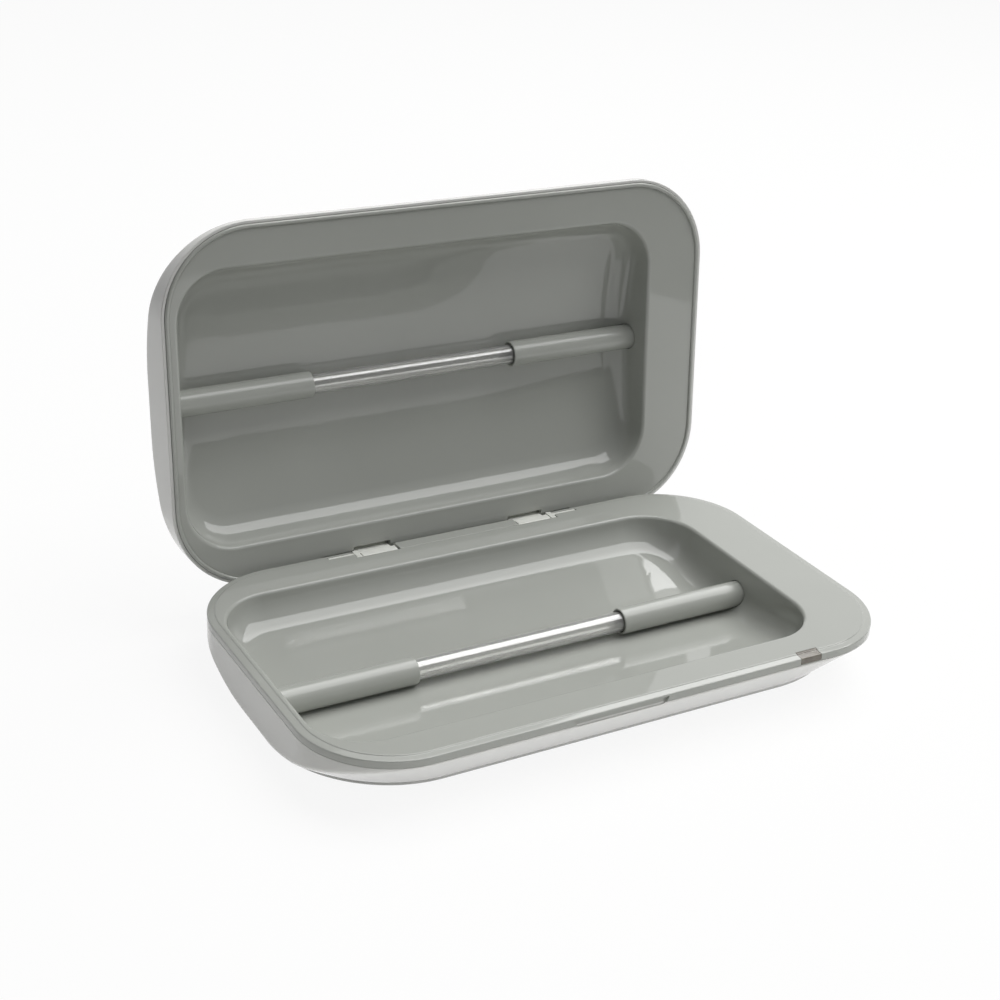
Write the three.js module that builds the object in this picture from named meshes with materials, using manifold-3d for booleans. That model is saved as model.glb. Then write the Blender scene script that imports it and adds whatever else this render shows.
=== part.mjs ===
// Ultraviolet sanitizer box for phones: a clamshell case, its lid standing open.
// Millimetres. X runs along the case, Y to the hinge at the rear, Z up.
// The origin is the middle of the flat underside.
import * as THREE from 'three';
import { mergeVertices } from 'three/addons/utils/BufferGeometryUtils.js';
import Module from 'manifold-3d';

const wasm = await Module();
wasm.setup();

// Case, both halves
const case_length = 196;
const case_width = 118.5;
const case_corner_radius = 29;
const half_depth = 19.5;
const shell_wall = 2;
const liner_wall = 1.6;
const slab_thickness = 2;

// Fits
const fit = 0.3;
const rim_gap = 0.4;
const bore_clearance = 0.25;
const overrun = 2;

// Bowl that cuts the sides of the case: its mouth, its foot and the flat under it.
// Each has round corners, with a straight stretch left of each end.
const mouth_end_reach = 20;
const mouth_side_reach = 0.35;
const mouth_half_straight = 7.6;
const mouth_depth = 2.8;
const foot_end_inset = 0.6;
const foot_side_inset = 11.95;
const foot_half_straight = 9.3;
const foot_rise = 2.5;
const flat_end_inset = 6.4;
const flat_side_inset = 5.3;
const flat_half_straight = 8;
const bowl_side_inset = 0.8;
const mouth_half_length = case_length / 2 + mouth_end_reach;
const mouth_half_width = case_width / 2 + mouth_side_reach;
const foot_depth = half_depth - foot_rise;
const foot_half_length = case_length / 2 - foot_end_inset;
const foot_half_width = case_width / 2 - foot_side_inset;
const flat_half_length = foot_half_length - flat_end_inset;
const flat_half_width = foot_half_width - flat_side_inset;

// Base rim: flange, step line, rounded shoulder and the band under it
const shoulder_fall = 0.7;
const step_drop = 0.6;
const step_edge = 0.2;
const band_bottom = 2.8;

// Lid rim: shell lip, seam, bead that stands proud and the flange inside it
const lip_width = 1;
const bead_width = 0.8;
const bead_height = 0.7;
const lid_slab_depth = 2.6;

// The lid's bead comes down on the base's shoulder, clear of the step line
const shoulder_width = lip_width + fit + bead_width + fit;

// Trays, and the flanges between them and the outline
const tray_edge_radius = 1.2;
const tray_draft = 1.5;
const tray_floor_radius = 152;
const tray_fillet = 7;
const tray_to_shell = 0.5;
const base_flange_left = 4.25;
const base_flange_right = 22.65;
const base_flange_front = 13.2;
const base_flange_rear = 15.4;
const base_tray_radius = 17.4;
const lid_flange_left = 5.1;
const lid_flange_right = 21.5;
const lid_flange_side = 14.25;
const lid_tray_radius = 16.3;
const floor_depth = half_depth - shell_wall - tray_to_shell - liner_wall;

// Locating rib under each slab
const rib_inset = 4.1;
const rib_width = 1.5;
const rib_depth = 4.6;

// Lamps
const lamp_to_front = 1.5;
const lamp_diameter = 6.5;
const lamp_left_inset = 52.1;
const lamp_right_inset = 70.1;
const lamp_tuck = 14;
const lamp_end_radius = 1.4;
const sleeve_diameter = 8.6;
const sleeve_wall = 0.7;
const sleeve_end_gap = 0.7;
const plug_length = 6;
const plug_diameter = 6.6;
const lead_diameter = 0.8;
const lamp_depth = floor_depth - fit - sleeve_diameter / 2;
const lamp_left_mouth = lamp_left_inset - case_length / 2;
const lamp_right_mouth = case_length / 2 - lamp_right_inset;

// Hinge
const hinge_inset = 2.25;
const hinge_drop = 3.8;
const open_angle = THREE.MathUtils.degToRad(95);
const hinge_middle_x = -0.7;
const hinge_spread = 30.5;
const hinge_width = 14.8;
const hinge_slit = 0.6;
const cheek_width = 1.9;
const arm_front = 2.8;
const arm_back = 1.4;
const arm_flush = 0.15;
const arm_corner_radius = 1;
const barrel_radius = 2.3;
const neck_top = 2.4;
const neck_bottom = 0.7;
const pin_diameter = 2;
const pin_reach = 4;
const notch_radius = 4.5;
const notch_floor = 3.2;
const keeper_length = 9.2;
const keeper_width = 1.6;
const keeper_sink = 0.35;
const hump_floor = 1.3;
const hump_depth = 7.25;
const hump_set_back = 0.3;
const hump_end = 1;
const lid_opening_depth = 1.3;
const root_plate_width = 7.6;
const root_plate_thickness = 2;
const hinge_screw_diameter = 2;
const hinge_screw_length = 1.5;
const hinge_screw_head = 3.6;
const hinge_screw_head_height = 1.1;
const hinge_screw_spread = 3.6;
const hinge_y = case_width / 2 - hinge_inset;
const hump_front = case_width / 2 - hump_depth;

// Raised strip of the base rim between the hinges, and the reliefs of the lid for it
const strip_width = 5.25;
const strip_rise = 0.15;
const strip_chamfer_width = 0.95;
const strip_chamfer_height = 0.65;
const lid_relief_depth = 0.8;
const lid_relief_margin = 0.5;
const bead_relief_inset = 22;
const strip_front = case_width / 2 - strip_width;
const lid_relief_end = hinge_spread + hinge_width / 2 + keeper_length + lid_relief_margin;
const bead_relief_end = case_length / 2 - bead_relief_inset;

// Finger recess under the lid's front edge
const recess_left = -25;
const recess_right = 7.5;
const recess_top = 1.3;
const recess_bottom = 3.6;
const recess_depth = 1.2;
const recess_slant = 1.6;

// Indicator
const pipe_inset = 42.4;
const pipe_width = 7.6;
const pipe_depth = 3.25;
const pipe_bottom = 2.4;
const pipe_stem_width = 4;
const pipe_stem_inset = 4.25;
const pipe_stem_depth = 2.5;
const pipe_stem_bottom = 4.8;
const pipe_skin = 1.2;
const led_diameter = 3;
const led_drop = 4;
const pipe_left = case_length / 2 - pipe_inset;
const pipe_back = case_width / 2 - pipe_depth;
const pipe_stem_front = case_width / 2 - pipe_stem_inset;
const pipe_stem_back = pipe_stem_front - pipe_stem_depth;

// Screws of the base and their bosses
const screw_end_inset = 51;
const screw_side_inset = 5;
const screw_diameter = 2.6;
const screw_head_diameter = 5;
const screw_head_height = 1.7;
const screw_head_recess = 2.2;
const screw_web = 1.8;
const screw_boss_wall = 1.7;
const screw_reach = 2.9;
const screw_x = flat_half_length - screw_end_inset;
const screw_y = flat_half_width - screw_side_inset;

// Feet
const rubber_foot_end_inset = 29;
const rubber_foot_side_inset = 6;
const rubber_foot_diameter = 10;
const rubber_foot_height = 1;
const rubber_foot_recess = 0.7;
const rubber_foot_round = 0.4;
const rubber_foot_x = flat_half_length - rubber_foot_end_inset;
const rubber_foot_y = flat_half_width - rubber_foot_side_inset;

// Electronics in the wide right end
const board_inset = 18.5;
const board_width = 13.5;
const board_half_length = 24;
const board_thickness = 1.6;
const board_stand = 3.3;
const board_post_diameter = 5;
const board_post_y = 18;
const transformer_length = 15;
const transformer_width = 10;
const transformer_headroom = 3;
const transformer_y = -14;
const winding_length = 8;
const winding_swell = 0.6;
const capacitor_diameter = 6.3;
const capacitor_headroom = 3;
const capacitor_y = -1.6;
const chip_length = 5;
const chip_width = 4;
const chip_height = 1.6;
const chip_y = 6;
const inlet_y = 16.5;
const inlet_width = 9;
const inlet_height = 6.5;
const inlet_length = 13;
const inlet_bore = 5.8;
const inlet_bore_depth = 9;
const inlet_pin = 2;
const inlet_pin_set_back = 1;
const inlet_set_back = 0.4;
const switch_inset = 11.5;
const switch_diameter = 2.4;
const switch_length = 16;
const magnet_diameter = 8;
const magnet_thickness = 2.5;
const board_room = half_depth - shell_wall - board_stand - fit - board_thickness - fit - slab_thickness;
const transformer_height = board_room - winding_swell - transformer_headroom;
const capacitor_height = board_room - capacitor_headroom;
const board_left = case_length / 2 - board_inset;
const switch_x = case_length / 2 - switch_inset;

// Steps of round stretches
const corner_steps = 8;
const floor_steps = 6;
const fillet_steps = 4;
const hidden_fillet_steps = 2;
const edge_steps = 3;
const rod_steps = 16;
const lamp_steps = 20;
const lead_steps = 6;

// Finishes
const finishes = {
  shell: { color: '#cfcfca', roughness: 0.28, metalness: 0 },
  liner: { color: '#9b9d96', roughness: 0.3, metalness: 0 },
  white: { color: '#e6e7e1', roughness: 0.4, metalness: 0 },
  steel: { color: '#b4b6b8', roughness: 0.3, metalness: 1 },
  glass: { color: '#dfe5e4', roughness: 0.05, metalness: 0 },
  smoke: { color: '#8c7d6c', roughness: 0.2, metalness: 0 },
  rubber: { color: '#6f7170', roughness: 0.8, metalness: 0 },
  silicone: { color: '#d8d8d2', roughness: 0.7, metalness: 0 },
  board: { color: '#2f6b42', roughness: 0.5, metalness: 0 },
  black: { color: '#26272a', roughness: 0.5, metalness: 0 },
  copper: { color: '#b8754a', roughness: 0.4, metalness: 1 },
  led: { color: '#dfe3ea', roughness: 0.2, metalness: 0 },
};

// Solids from closed geometries

function solid(geometry) {
  const bare = geometry.clone();
  bare.deleteAttribute('normal');
  bare.deleteAttribute('uv');
  const merged = mergeVertices(bare);
  return new wasm.Manifold(new wasm.Mesh({
    numProp: 3,
    vertProperties: new Float32Array(merged.attributes.position.array),
    triVerts: new Uint32Array(merged.index.array),
  }));
}

function surface(body) {
  const mesh = body.getMesh();
  const geometry = new THREE.BufferGeometry();
  geometry.setAttribute('position', new THREE.BufferAttribute(new Float32Array(mesh.vertProperties), 3));
  geometry.setIndex(new THREE.BufferAttribute(new Uint32Array(mesh.triVerts), 1));
  return geometry;
}

function join(bodies) {
  return bodies.reduce((sum, body) => sum.add(body));
}

function cut(body, tools) {
  return tools.reduce((rest, tool) => rest.subtract(tool), body);
}

// A box between pairs of limits; a pair may be given in either order
function box([x0, x1], [y0, y1], [z0, z1]) {
  const geometry = new THREE.BoxGeometry(Math.abs(x1 - x0), Math.abs(y1 - y0), Math.abs(z1 - z0));
  geometry.translate((x0 + x1) / 2, (y0 + y1) / 2, (z0 + z1) / 2);
  return solid(geometry);
}

function rodGeometry(radius, length, steps) {
  return new THREE.CylinderGeometry(radius, radius, length, steps);
}

function rodX(radius, [x0, x1], y, z, steps = rod_steps) {
  const geometry = rodGeometry(radius, Math.abs(x1 - x0), steps);
  geometry.rotateZ(Math.PI / 2);
  geometry.translate((x0 + x1) / 2, y, z);
  return solid(geometry);
}

function rodY(radius, [y0, y1], x, z, steps = rod_steps) {
  const geometry = rodGeometry(radius, Math.abs(y1 - y0), steps);
  geometry.translate(x, (y0 + y1) / 2, z);
  return solid(geometry);
}

function rodZ(radius, [z0, z1], x, y, steps = rod_steps) {
  const geometry = rodGeometry(radius, Math.abs(z1 - z0), steps);
  geometry.rotateX(Math.PI / 2);
  geometry.translate(x, y, (z0 + z1) / 2);
  return solid(geometry);
}

// A shape drawn in the YZ plane, carried along X
function alongX(shape, [x0, x1]) {
  const geometry = new THREE.ExtrudeGeometry(shape, { depth: Math.abs(x1 - x0), bevelEnabled: false });
  const axes = new THREE.Matrix4().makeBasis(
    new THREE.Vector3(0, 1, 0),
    new THREE.Vector3(0, 0, 1),
    new THREE.Vector3(1, 0, 0),
  );
  geometry.applyMatrix4(axes);
  geometry.translate(Math.min(x0, x1), 0, 0);
  return geometry;
}

// A shape drawn in the XZ plane, carried along Y
function alongY(shape, [y0, y1]) {
  const geometry = new THREE.ExtrudeGeometry(shape, { depth: Math.abs(y1 - y0), bevelEnabled: false });
  geometry.rotateX(Math.PI / 2);
  geometry.translate(0, Math.max(y0, y1), 0);
  return geometry;
}

// A turned piece: profile points are [radius, height], the axis is Z
function turned(profile, steps = rod_steps) {
  const geometry = new THREE.LatheGeometry(profile.map(([r, h]) => new THREE.Vector2(r, h)), steps);
  geometry.rotateX(Math.PI / 2);
  return solid(geometry);
}

// One ring of a loft: a rectangle with round corners at height z
function ring({ half_x, half_y, radius, z, x = 0, y = 0 }) {
  const points = [];
  const sides = [[1, 1], [-1, 1], [-1, -1], [1, -1]];
  sides.forEach(([side_x, side_y], corner) => {
    for (let step = 0; step <= corner_steps; step += 1) {
      const angle = (corner + step / corner_steps) * Math.PI / 2;
      points.push(new THREE.Vector3(
        x + side_x * (half_x - radius) + radius * Math.cos(angle),
        y + side_y * (half_y - radius) + radius * Math.sin(angle),
        z,
      ));
    }
  });
  return points;
}

// A solid through rings, the lowest first, closed by a fan at each end
function loft(rings) {
  const count = rings[0].length;
  const middle = (points) => points
    .reduce((sum, point) => sum.add(point), new THREE.Vector3())
    .divideScalar(points.length);
  const points = [...rings.flat(), middle(rings[0]), middle(rings[rings.length - 1])];
  const low = rings.length * count;
  const high = low + 1;
  const last = low - count;
  const faces = [];
  for (let side = 0; side < count; side += 1) {
    const next = (side + 1) % count;
    for (let level = 0; level < rings.length - 1; level += 1) {
      const under = level * count;
      const over = under + count;
      faces.push(under + side, under + next, over + next);
      faces.push(under + side, over + next, over + side);
    }
    faces.push(low, next, side);
    faces.push(high, last + side, last + next);
  }
  const geometry = new THREE.BufferGeometry().setFromPoints(points);
  geometry.setIndex(faces);
  return solid(geometry);
}

// Forms of one half of the case. Each half is drawn with its rim up, the rim plane at z = 0.

function outlineRing(inset, z) {
  return ring({
    half_x: case_length / 2 - inset,
    half_y: case_width / 2 - inset,
    radius: case_corner_radius - inset,
    z,
  });
}

function outlinePrism(inset, [low, high]) {
  return loft([outlineRing(inset, low), outlineRing(inset, high)]);
}

// The bowl between mouth, foot and flat; an inner bowl lies inset and raised in the outer one
function bowl(inset, rise) {
  const level = (half_x, half_y, half_straight, z) => ({ half_x, half_y, radius: half_y - half_straight, z });
  const mouth = level(mouth_half_length, mouth_half_width, mouth_half_straight, -mouth_depth);
  const foot = level(foot_half_length, foot_half_width, foot_half_straight, -foot_depth);
  const flat = level(flat_half_length, flat_half_width, flat_half_straight, -half_depth);
  const between = (turn) => {
    const out = 1 - Math.sin(turn);
    const down = 1 - Math.cos(turn);
    const mix = (size) => flat[size] + (foot[size] - flat[size]) * (1 - down);
    return {
      half_x: mix('half_x'),
      half_y: mix('half_y'),
      radius: mix('radius'),
      z: flat.z + (foot.z - flat.z) * out,
    };
  };
  const rounding = [];
  for (let step = edge_steps; step >= 0; step -= 1) {
    rounding.push(between(step / edge_steps * Math.PI / 2));
  }
  const levels = [...rounding, mouth, { ...mouth, z: overrun }];
  return loft(levels.map(({ half_x, half_y, radius, z }) => ring({
    half_x: half_x - inset,
    half_y: half_y - inset,
    radius: radius - inset,
    z: z + rise,
  })));
}

// What is free inside the shell, less a clearance
function interior(clearance) {
  return outlinePrism(shell_wall + clearance, [-half_depth, overrun])
    .intersect(bowl(bowl_side_inset + clearance, shell_wall + clearance));
}

function shellBlank(top) {
  const outside = outlinePrism(0, [-half_depth, top]).intersect(bowl(0, 0));
  return outside.subtract(interior(0));
}

// The tray's floor is an arch along X
function floorZ(tray, y) {
  return tray_floor_radius - floor_depth - Math.sqrt(tray_floor_radius ** 2 - (y - tray.y) ** 2);
}

function trayRing(tray, inset, z) {
  return ring({
    half_x: tray.length / 2 - inset,
    half_y: tray.width / 2 - inset,
    radius: tray.radius - inset,
    z,
    x: tray.x,
    y: tray.y,
  });
}

// The lower skin of a tray, grown outwards: an arched floor and a fillet up to the drafted wall.
// The skin bulges everywhere, so a hull round its points is its form.
function traySkin(tray, grow, steps) {
  const radius = tray_fillet + grow;
  const straight = tray.width / 2 - tray.radius;
  const points = [];
  for (let step = 0; step <= steps; step += 1) {
    const turn = step / steps * Math.PI / 2;
    const place = (y) => {
      const fillet_z = floorZ(tray, y) + tray_fillet;
      const wall = tray_draft * (-tray_edge_radius - fillet_z) / (floor_depth - tray_edge_radius);
      return [wall + tray_fillet - radius * Math.sin(turn), fillet_z - radius * Math.cos(turn)];
    };
    trayRing(tray, tray_fillet, 0).forEach(({ y }, index) => {
      points.push(trayRing(tray, ...place(y))[index]);
    });
    for (let row = 1; row < floor_steps; row += 1) {
      const y = tray.y + straight * (2 * row / floor_steps - 1);
      const [inset, z] = place(y);
      const end = tray.length / 2 - inset;
      points.push(new THREE.Vector3(tray.x - end, y, z), new THREE.Vector3(tray.x + end, y, z));
    }
  }
  return points;
}

function hull(points) {
  return wasm.Manifold.hull(points.map(({ x, y, z }) => [x, y, z]));
}

// The space of the tray, with its rounded upper edge
function traySpace(tray) {
  const low = hull([...traySkin(tray, 0, fillet_steps), ...trayRing(tray, 0, -tray_edge_radius)]);
  const rings = [trayRing(tray, tray_draft, -tray_edge_radius - tray_edge_radius)];
  for (let step = 0; step <= edge_steps; step += 1) {
    const turn = step / edge_steps * Math.PI / 2;
    const out = tray_edge_radius * (1 - Math.cos(turn));
    rings.push(trayRing(tray, -out, tray_edge_radius * (Math.sin(turn) - 1)));
  }
  rings.push(trayRing(tray, -tray_edge_radius, overrun));
  return low.add(loft(rings));
}

// The tub that the tray is cut into
function trayTub(tray, top) {
  return hull([...traySkin(tray, liner_wall, hidden_fillet_steps), ...trayRing(tray, -liner_wall, top)]);
}

function locatingRib(top) {
  return outlinePrism(rib_inset, [-rib_depth, top])
    .subtract(outlinePrism(rib_inset + rib_width, [-rib_depth - overrun, top + overrun]));
}

const base_tray = {
  length: case_length - base_flange_left - base_flange_right,
  width: case_width - base_flange_front - base_flange_rear,
  radius: base_tray_radius,
  x: (base_flange_left - base_flange_right) / 2,
  y: (base_flange_front - base_flange_rear) / 2,
};
const lid_tray = {
  length: case_length - lid_flange_left - lid_flange_right,
  width: case_width - lid_flange_side - lid_flange_side,
  radius: lid_tray_radius,
  x: (lid_flange_left - lid_flange_right) / 2,
  y: 0,
};

// Holes through a tray's end walls for the lamp sleeves
function sleeveSpan(tray, side) {
  const mouth = side < 0 ? lamp_left_mouth : lamp_right_mouth;
  const wall_foot = tray.x + side * (tray.length / 2 + liner_wall - tray_draft * lamp_depth / floor_depth);
  return [mouth, wall_foot + side * sleeve_end_gap];
}

function sleeveHoles(tray, lamp_y) {
  return [-1, 1].map((side) => {
    const end = sleeveSpan(tray, side)[1];
    const wall_inside = end - side * (sleeve_end_gap + liner_wall + tray_fillet + fit);
    const span = [wall_inside, end + side * overrun];
    return rodX(sleeve_diameter / 2 + bore_clearance, span, lamp_y, -lamp_depth, lamp_steps);
  });
}

// Hinge, as seen from the end: the hinge axis is the origin, Y to the rear and Z up.
// Each hinge has its pin keeper on the outer side, the slit on the inner side.

const arm_width = hinge_width - cheek_width - fit;
const arm_top = hinge_drop - arm_flush;

function hingeX(side, from_outer) {
  return hinge_middle_x + side * (hinge_spread + hinge_width / 2 - from_outer);
}

function hingeSpan(side, from_outer, width) {
  return [hingeX(side, from_outer), hingeX(side, from_outer + width)];
}

const notch_outer = -fit;
const notch_width = hinge_width + fit + hinge_slit;
const arm_outer = cheek_width + fit;
const slot_outer = -keeper_length - fit;
const pin_outer = -keeper_length + fit;
const pin_length = keeper_length - fit + hinge_width + hinge_slit + pin_reach;
const hump_outer = slot_outer - hump_end;
const hump_width = hump_end + keeper_length + fit + hinge_width + hinge_slit + pin_reach + fit + hump_end;

// Space that the lid's arm sweeps, with the base's rim plane at z = 0
function hingeNotch(side) {
  const span = hingeSpan(side, notch_outer, notch_width);
  const sweep = rodX(notch_radius, span, hinge_y, -hinge_drop, lamp_steps)
    .intersect(box(span, [hinge_y - notch_radius, hinge_y + notch_radius],
      [-hinge_drop - notch_floor, overrun]));
  const above = box(span, [hinge_y - arm_front - fit, case_width / 2 + overrun], [-hinge_drop, overrun]);
  return sweep.add(above);
}

function pinBore(side) {
  return rodX(pin_diameter / 2 + fit, hingeSpan(side, pin_outer - fit, pin_length + fit + fit), hinge_y,
    -hinge_drop);
}

function keeperSlot(side) {
  const half_width = keeper_width / 2 + fit;
  return box(hingeSpan(side, slot_outer, keeper_length + fit + fit),
    [hinge_y - half_width, hinge_y + half_width], [-band_bottom - overrun, overrun]);
}

// Room of the power inlet, through the shell and wherever the liner comes near it
const board_bottom = -half_depth + shell_wall + board_stand + fit;
const board_top = board_bottom + board_thickness;
const inlet_bottom = board_top + fit;
const inlet_face = case_length / 2 - inlet_set_back;

function inletRoom() {
  return box([inlet_face - inlet_length, case_length],
    [inlet_y - inlet_width / 2 - fit, inlet_y + inlet_width / 2 + fit],
    [inlet_bottom - fit, inlet_bottom + inlet_height + fit]);
}

// Base liner

function baseSlab() {
  const rings = [outlineRing(0, -band_bottom)];
  for (let step = edge_steps; step >= 0; step -= 1) {
    const turn = step / edge_steps * Math.PI / 2;
    rings.push(outlineRing(shoulder_width * (1 - Math.sin(turn)),
      -step_drop - shoulder_fall * (1 - Math.cos(turn))));
  }
  rings.push(outlineRing(shoulder_width, -step_edge));
  rings.push(outlineRing(shoulder_width + step_edge, 0));
  const underside = outlinePrism(shell_wall, [-band_bottom - overrun, -slab_thickness]);
  return loft(rings).subtract(underside);
}

function raisedStrip() {
  const rear = case_width / 2;
  const shape = new THREE.Shape();
  shape.moveTo(strip_front, -band_bottom);
  shape.lineTo(rear, -band_bottom);
  shape.lineTo(rear, strip_rise - strip_chamfer_height);
  shape.lineTo(rear - strip_chamfer_width, strip_rise);
  shape.lineTo(strip_front, strip_rise);
  shape.closePath();
  return solid(alongX(shape, [hingeX(-1, hinge_width + hinge_slit), hingeX(1, hinge_width + hinge_slit)]));
}

function recessTool() {
  const shape = new THREE.Shape();
  shape.moveTo(recess_left, -recess_top);
  shape.lineTo(recess_right, -recess_top);
  shape.lineTo(recess_right - recess_slant, -recess_bottom);
  shape.lineTo(recess_left + recess_slant, -recess_bottom);
  shape.closePath();
  return solid(alongY(shape, [-case_width / 2 - overrun, -case_width / 2 + recess_depth]));
}

function pipeBlocks(clearance) {
  const right = pipe_left + pipe_width;
  const middle = (pipe_left + right) / 2;
  const half_stem = pipe_stem_width / 2 + clearance;
  const head = box([pipe_left - clearance, right + clearance],
    [-case_width / 2 - overrun, -pipe_back + clearance], [-pipe_bottom - clearance, overrun]);
  const stem_span = [middle - half_stem, middle + half_stem];
  const stem_back = -pipe_stem_back + clearance;
  const foot = box(stem_span, [-pipe_back - clearance, stem_back],
    [-pipe_bottom - clearance, -pipe_skin + clearance]);
  const stem = box(stem_span, [-pipe_stem_front - clearance, stem_back],
    [-pipe_stem_bottom - clearance, -pipe_bottom]);
  return { head, foot, stem };
}

function screwPlaces() {
  return [[-1, -1], [1, -1], [-1, 1], [1, 1]].map(([side_x, side_y]) => [side_x * screw_x, side_y * screw_y]);
}

const screw_web_top = -half_depth + screw_head_recess + screw_web;
const screw_boss_radius = screw_diameter / 2 + fit + screw_boss_wall;

function baseLiner() {
  const lamp_y = -lamp_to_front;
  const boss_top = -floor_depth + tray_fillet;
  const boss_span = [screw_web_top + fit, boss_top];
  const bosses = screwPlaces().map(([x, y]) => rodZ(screw_boss_radius, boss_span, x, y));
  const below = join([trayTub(base_tray, -slab_thickness / 2), locatingRib(-slab_thickness / 2), ...bosses])
    .intersect(interior(fit));
  const humps = [-1, 1].map((side) => box(hingeSpan(side, hump_outer - fit, hump_width + fit + fit),
    [hump_front - fit, case_width], [-half_depth, -slab_thickness]));
  const body = join([baseSlab(), raisedStrip(), cut(below, [...humps, inletRoom()])]);
  const pipe = pipeBlocks(fit);
  const screw_holes = screwPlaces().map(([x, y]) => rodZ(screw_diameter / 2 + fit,
    [-half_depth, screw_web_top + screw_reach + fit], x, y));
  return cut(body, [
    traySpace(base_tray),
    ...sleeveHoles(base_tray, lamp_y),
    ...[-1, 1].flatMap((side) => [hingeNotch(side), pinBore(side), keeperSlot(side)]),
    recessTool(),
    pipe.head,
    pipe.foot,
    pipe.stem,
    ...screw_holes,
  ]);
}

// Base shell

function footPlaces() {
  return [[-1, -1], [1, -1], [-1, 1], [1, 1]]
    .map(([side_x, side_y]) => [side_x * rubber_foot_x, side_y * rubber_foot_y]);
}

const base_shell_top = -band_bottom - fit;

function hingeHump(side) {
  const rear = case_width / 2 - hump_set_back;
  const floor = -hinge_drop - notch_floor - hump_floor;
  const shape = new THREE.Shape();
  shape.moveTo(hump_front, base_shell_top);
  shape.lineTo(rear, base_shell_top);
  shape.lineTo(rear, -hinge_drop - pin_diameter);
  shape.lineTo(rear - hump_floor, floor);
  shape.lineTo(hump_front, floor);
  shape.closePath();
  return solid(alongX(shape, hingeSpan(side, hump_outer, hump_width)));
}

function baseShell() {
  const posts = [-1, 1].map((side) => rodZ(board_post_diameter / 2,
    [-half_depth + shell_wall / 2, board_bottom - fit], board_left + board_width / 2, side * board_post_y));
  const webs = screwPlaces().map(([x, y]) => rodZ(screw_head_diameter / 2 + fit + screw_boss_wall,
    [-half_depth + shell_wall / 2, screw_web_top], x, y));
  const inner = join([...posts, ...webs]).intersect(bowl(shell_wall / 2, shell_wall / 2));
  const body = join([shellBlank(base_shell_top), inner, hingeHump(-1), hingeHump(1)]);
  const foot_recesses = footPlaces().map(([x, y]) => rodZ(rubber_foot_diameter / 2 + fit,
    [-half_depth - overrun, -half_depth + rubber_foot_recess], x, y));
  const screw_recesses = screwPlaces().flatMap(([x, y]) => [
    rodZ(screw_head_diameter / 2 + fit, [-half_depth - overrun, -half_depth + screw_head_recess], x, y),
    rodZ(screw_diameter / 2 + fit, [-half_depth - overrun, screw_web_top + overrun], x, y),
  ]);
  return cut(body, [
    ...foot_recesses,
    ...screw_recesses,
    ...[-1, 1].flatMap((side) => [hingeNotch(side), pinBore(side)]),
    recessTool(),
    inletRoom(),
  ]);
}

// Lid. Its rear is at -Y, because a half is drawn with its rim up.

const lid_axis_y = -hinge_y;
const lid_axis_z = hinge_drop + rim_gap;
const lid_slab_inset = lip_width + fit;

function lidSlab() {
  const rings = [outlineRing(lid_slab_inset, -lid_slab_depth)];
  for (let step = 0; step <= edge_steps + edge_steps; step += 1) {
    const turn = step / (edge_steps + edge_steps) * Math.PI;
    const inset = lid_slab_inset + bead_width / 2 * (1 - Math.cos(turn));
    rings.push(outlineRing(inset, bead_height * Math.sin(turn)));
  }
  return loft(rings);
}

function lidHingeOpening(side) {
  const front = hinge_y - neck_top - fit - lid_opening_depth;
  return box(hingeSpan(side, arm_outer - fit, arm_width + fit + hinge_slit),
    [-front, -case_width / 2 + lip_width], [-lid_slab_depth - overrun, overrun]);
}

function hingeScrewPlaces(side) {
  const middle = arm_outer + arm_width / 2;
  return [-1, 1].map((end) => [
    hingeX(side, middle + end * hinge_screw_spread),
    -(hinge_y - neck_top - fit - lid_opening_depth - hinge_screw_head / 2 - fit),
  ]);
}

function lidLiner() {
  const below = join([trayTub(lid_tray, -lid_slab_depth / 2), locatingRib(-lid_slab_depth / 2)])
    .intersect(interior(fit));
  const root_rooms = [-1, 1].map((side) => box(hingeSpan(side, arm_outer - fit, arm_width + fit + fit),
    [-case_width / 2, -lid_tray.width / 2 - liner_wall], [-half_depth, -lid_slab_depth]));
  const body = join([lidSlab(), cut(below, root_rooms)]);
  const relief = box([hinge_middle_x - lid_relief_end, hinge_middle_x + lid_relief_end],
    [-case_width, -strip_front - fit], [-lid_relief_depth, overrun]);
  const bead_relief = box([-bead_relief_end, bead_relief_end], [-case_width, -strip_front], [0, overrun]);
  const screw_span = [-lid_slab_depth - overrun, -lid_slab_depth + hinge_screw_length];
  const screw_holes = [-1, 1].flatMap(hingeScrewPlaces)
    .map(([x, y]) => rodZ(hinge_screw_diameter / 2 + bore_clearance, screw_span, x, y));
  return cut(body, [
    traySpace(lid_tray),
    ...sleeveHoles(lid_tray, lamp_to_front),
    relief,
    bead_relief,
    lidHingeOpening(-1),
    lidHingeOpening(1),
    ...screw_holes,
  ]);
}

function lidShell() {
  const rabbet = outlinePrism(lip_width, [-lid_slab_depth - fit, overrun]);
  return shellBlank(0).subtract(rabbet);
}

// The lid's arm: a block round the pin whose top lies flush with the base's rim when the
// lid is open, a neck through the lid's rim and a plate screwed behind it
function armBlockShape() {
  const shape = new THREE.Shape();
  shape.moveTo(arm_back, 0);
  shape.lineTo(arm_back, arm_top);
  shape.lineTo(-arm_front + arm_corner_radius, arm_top);
  shape.absarc(-arm_front + arm_corner_radius, arm_top - arm_corner_radius, arm_corner_radius,
    Math.PI / 2, Math.PI, false);
  shape.lineTo(-arm_front, 0);
  shape.closePath();
  return shape;
}

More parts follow.
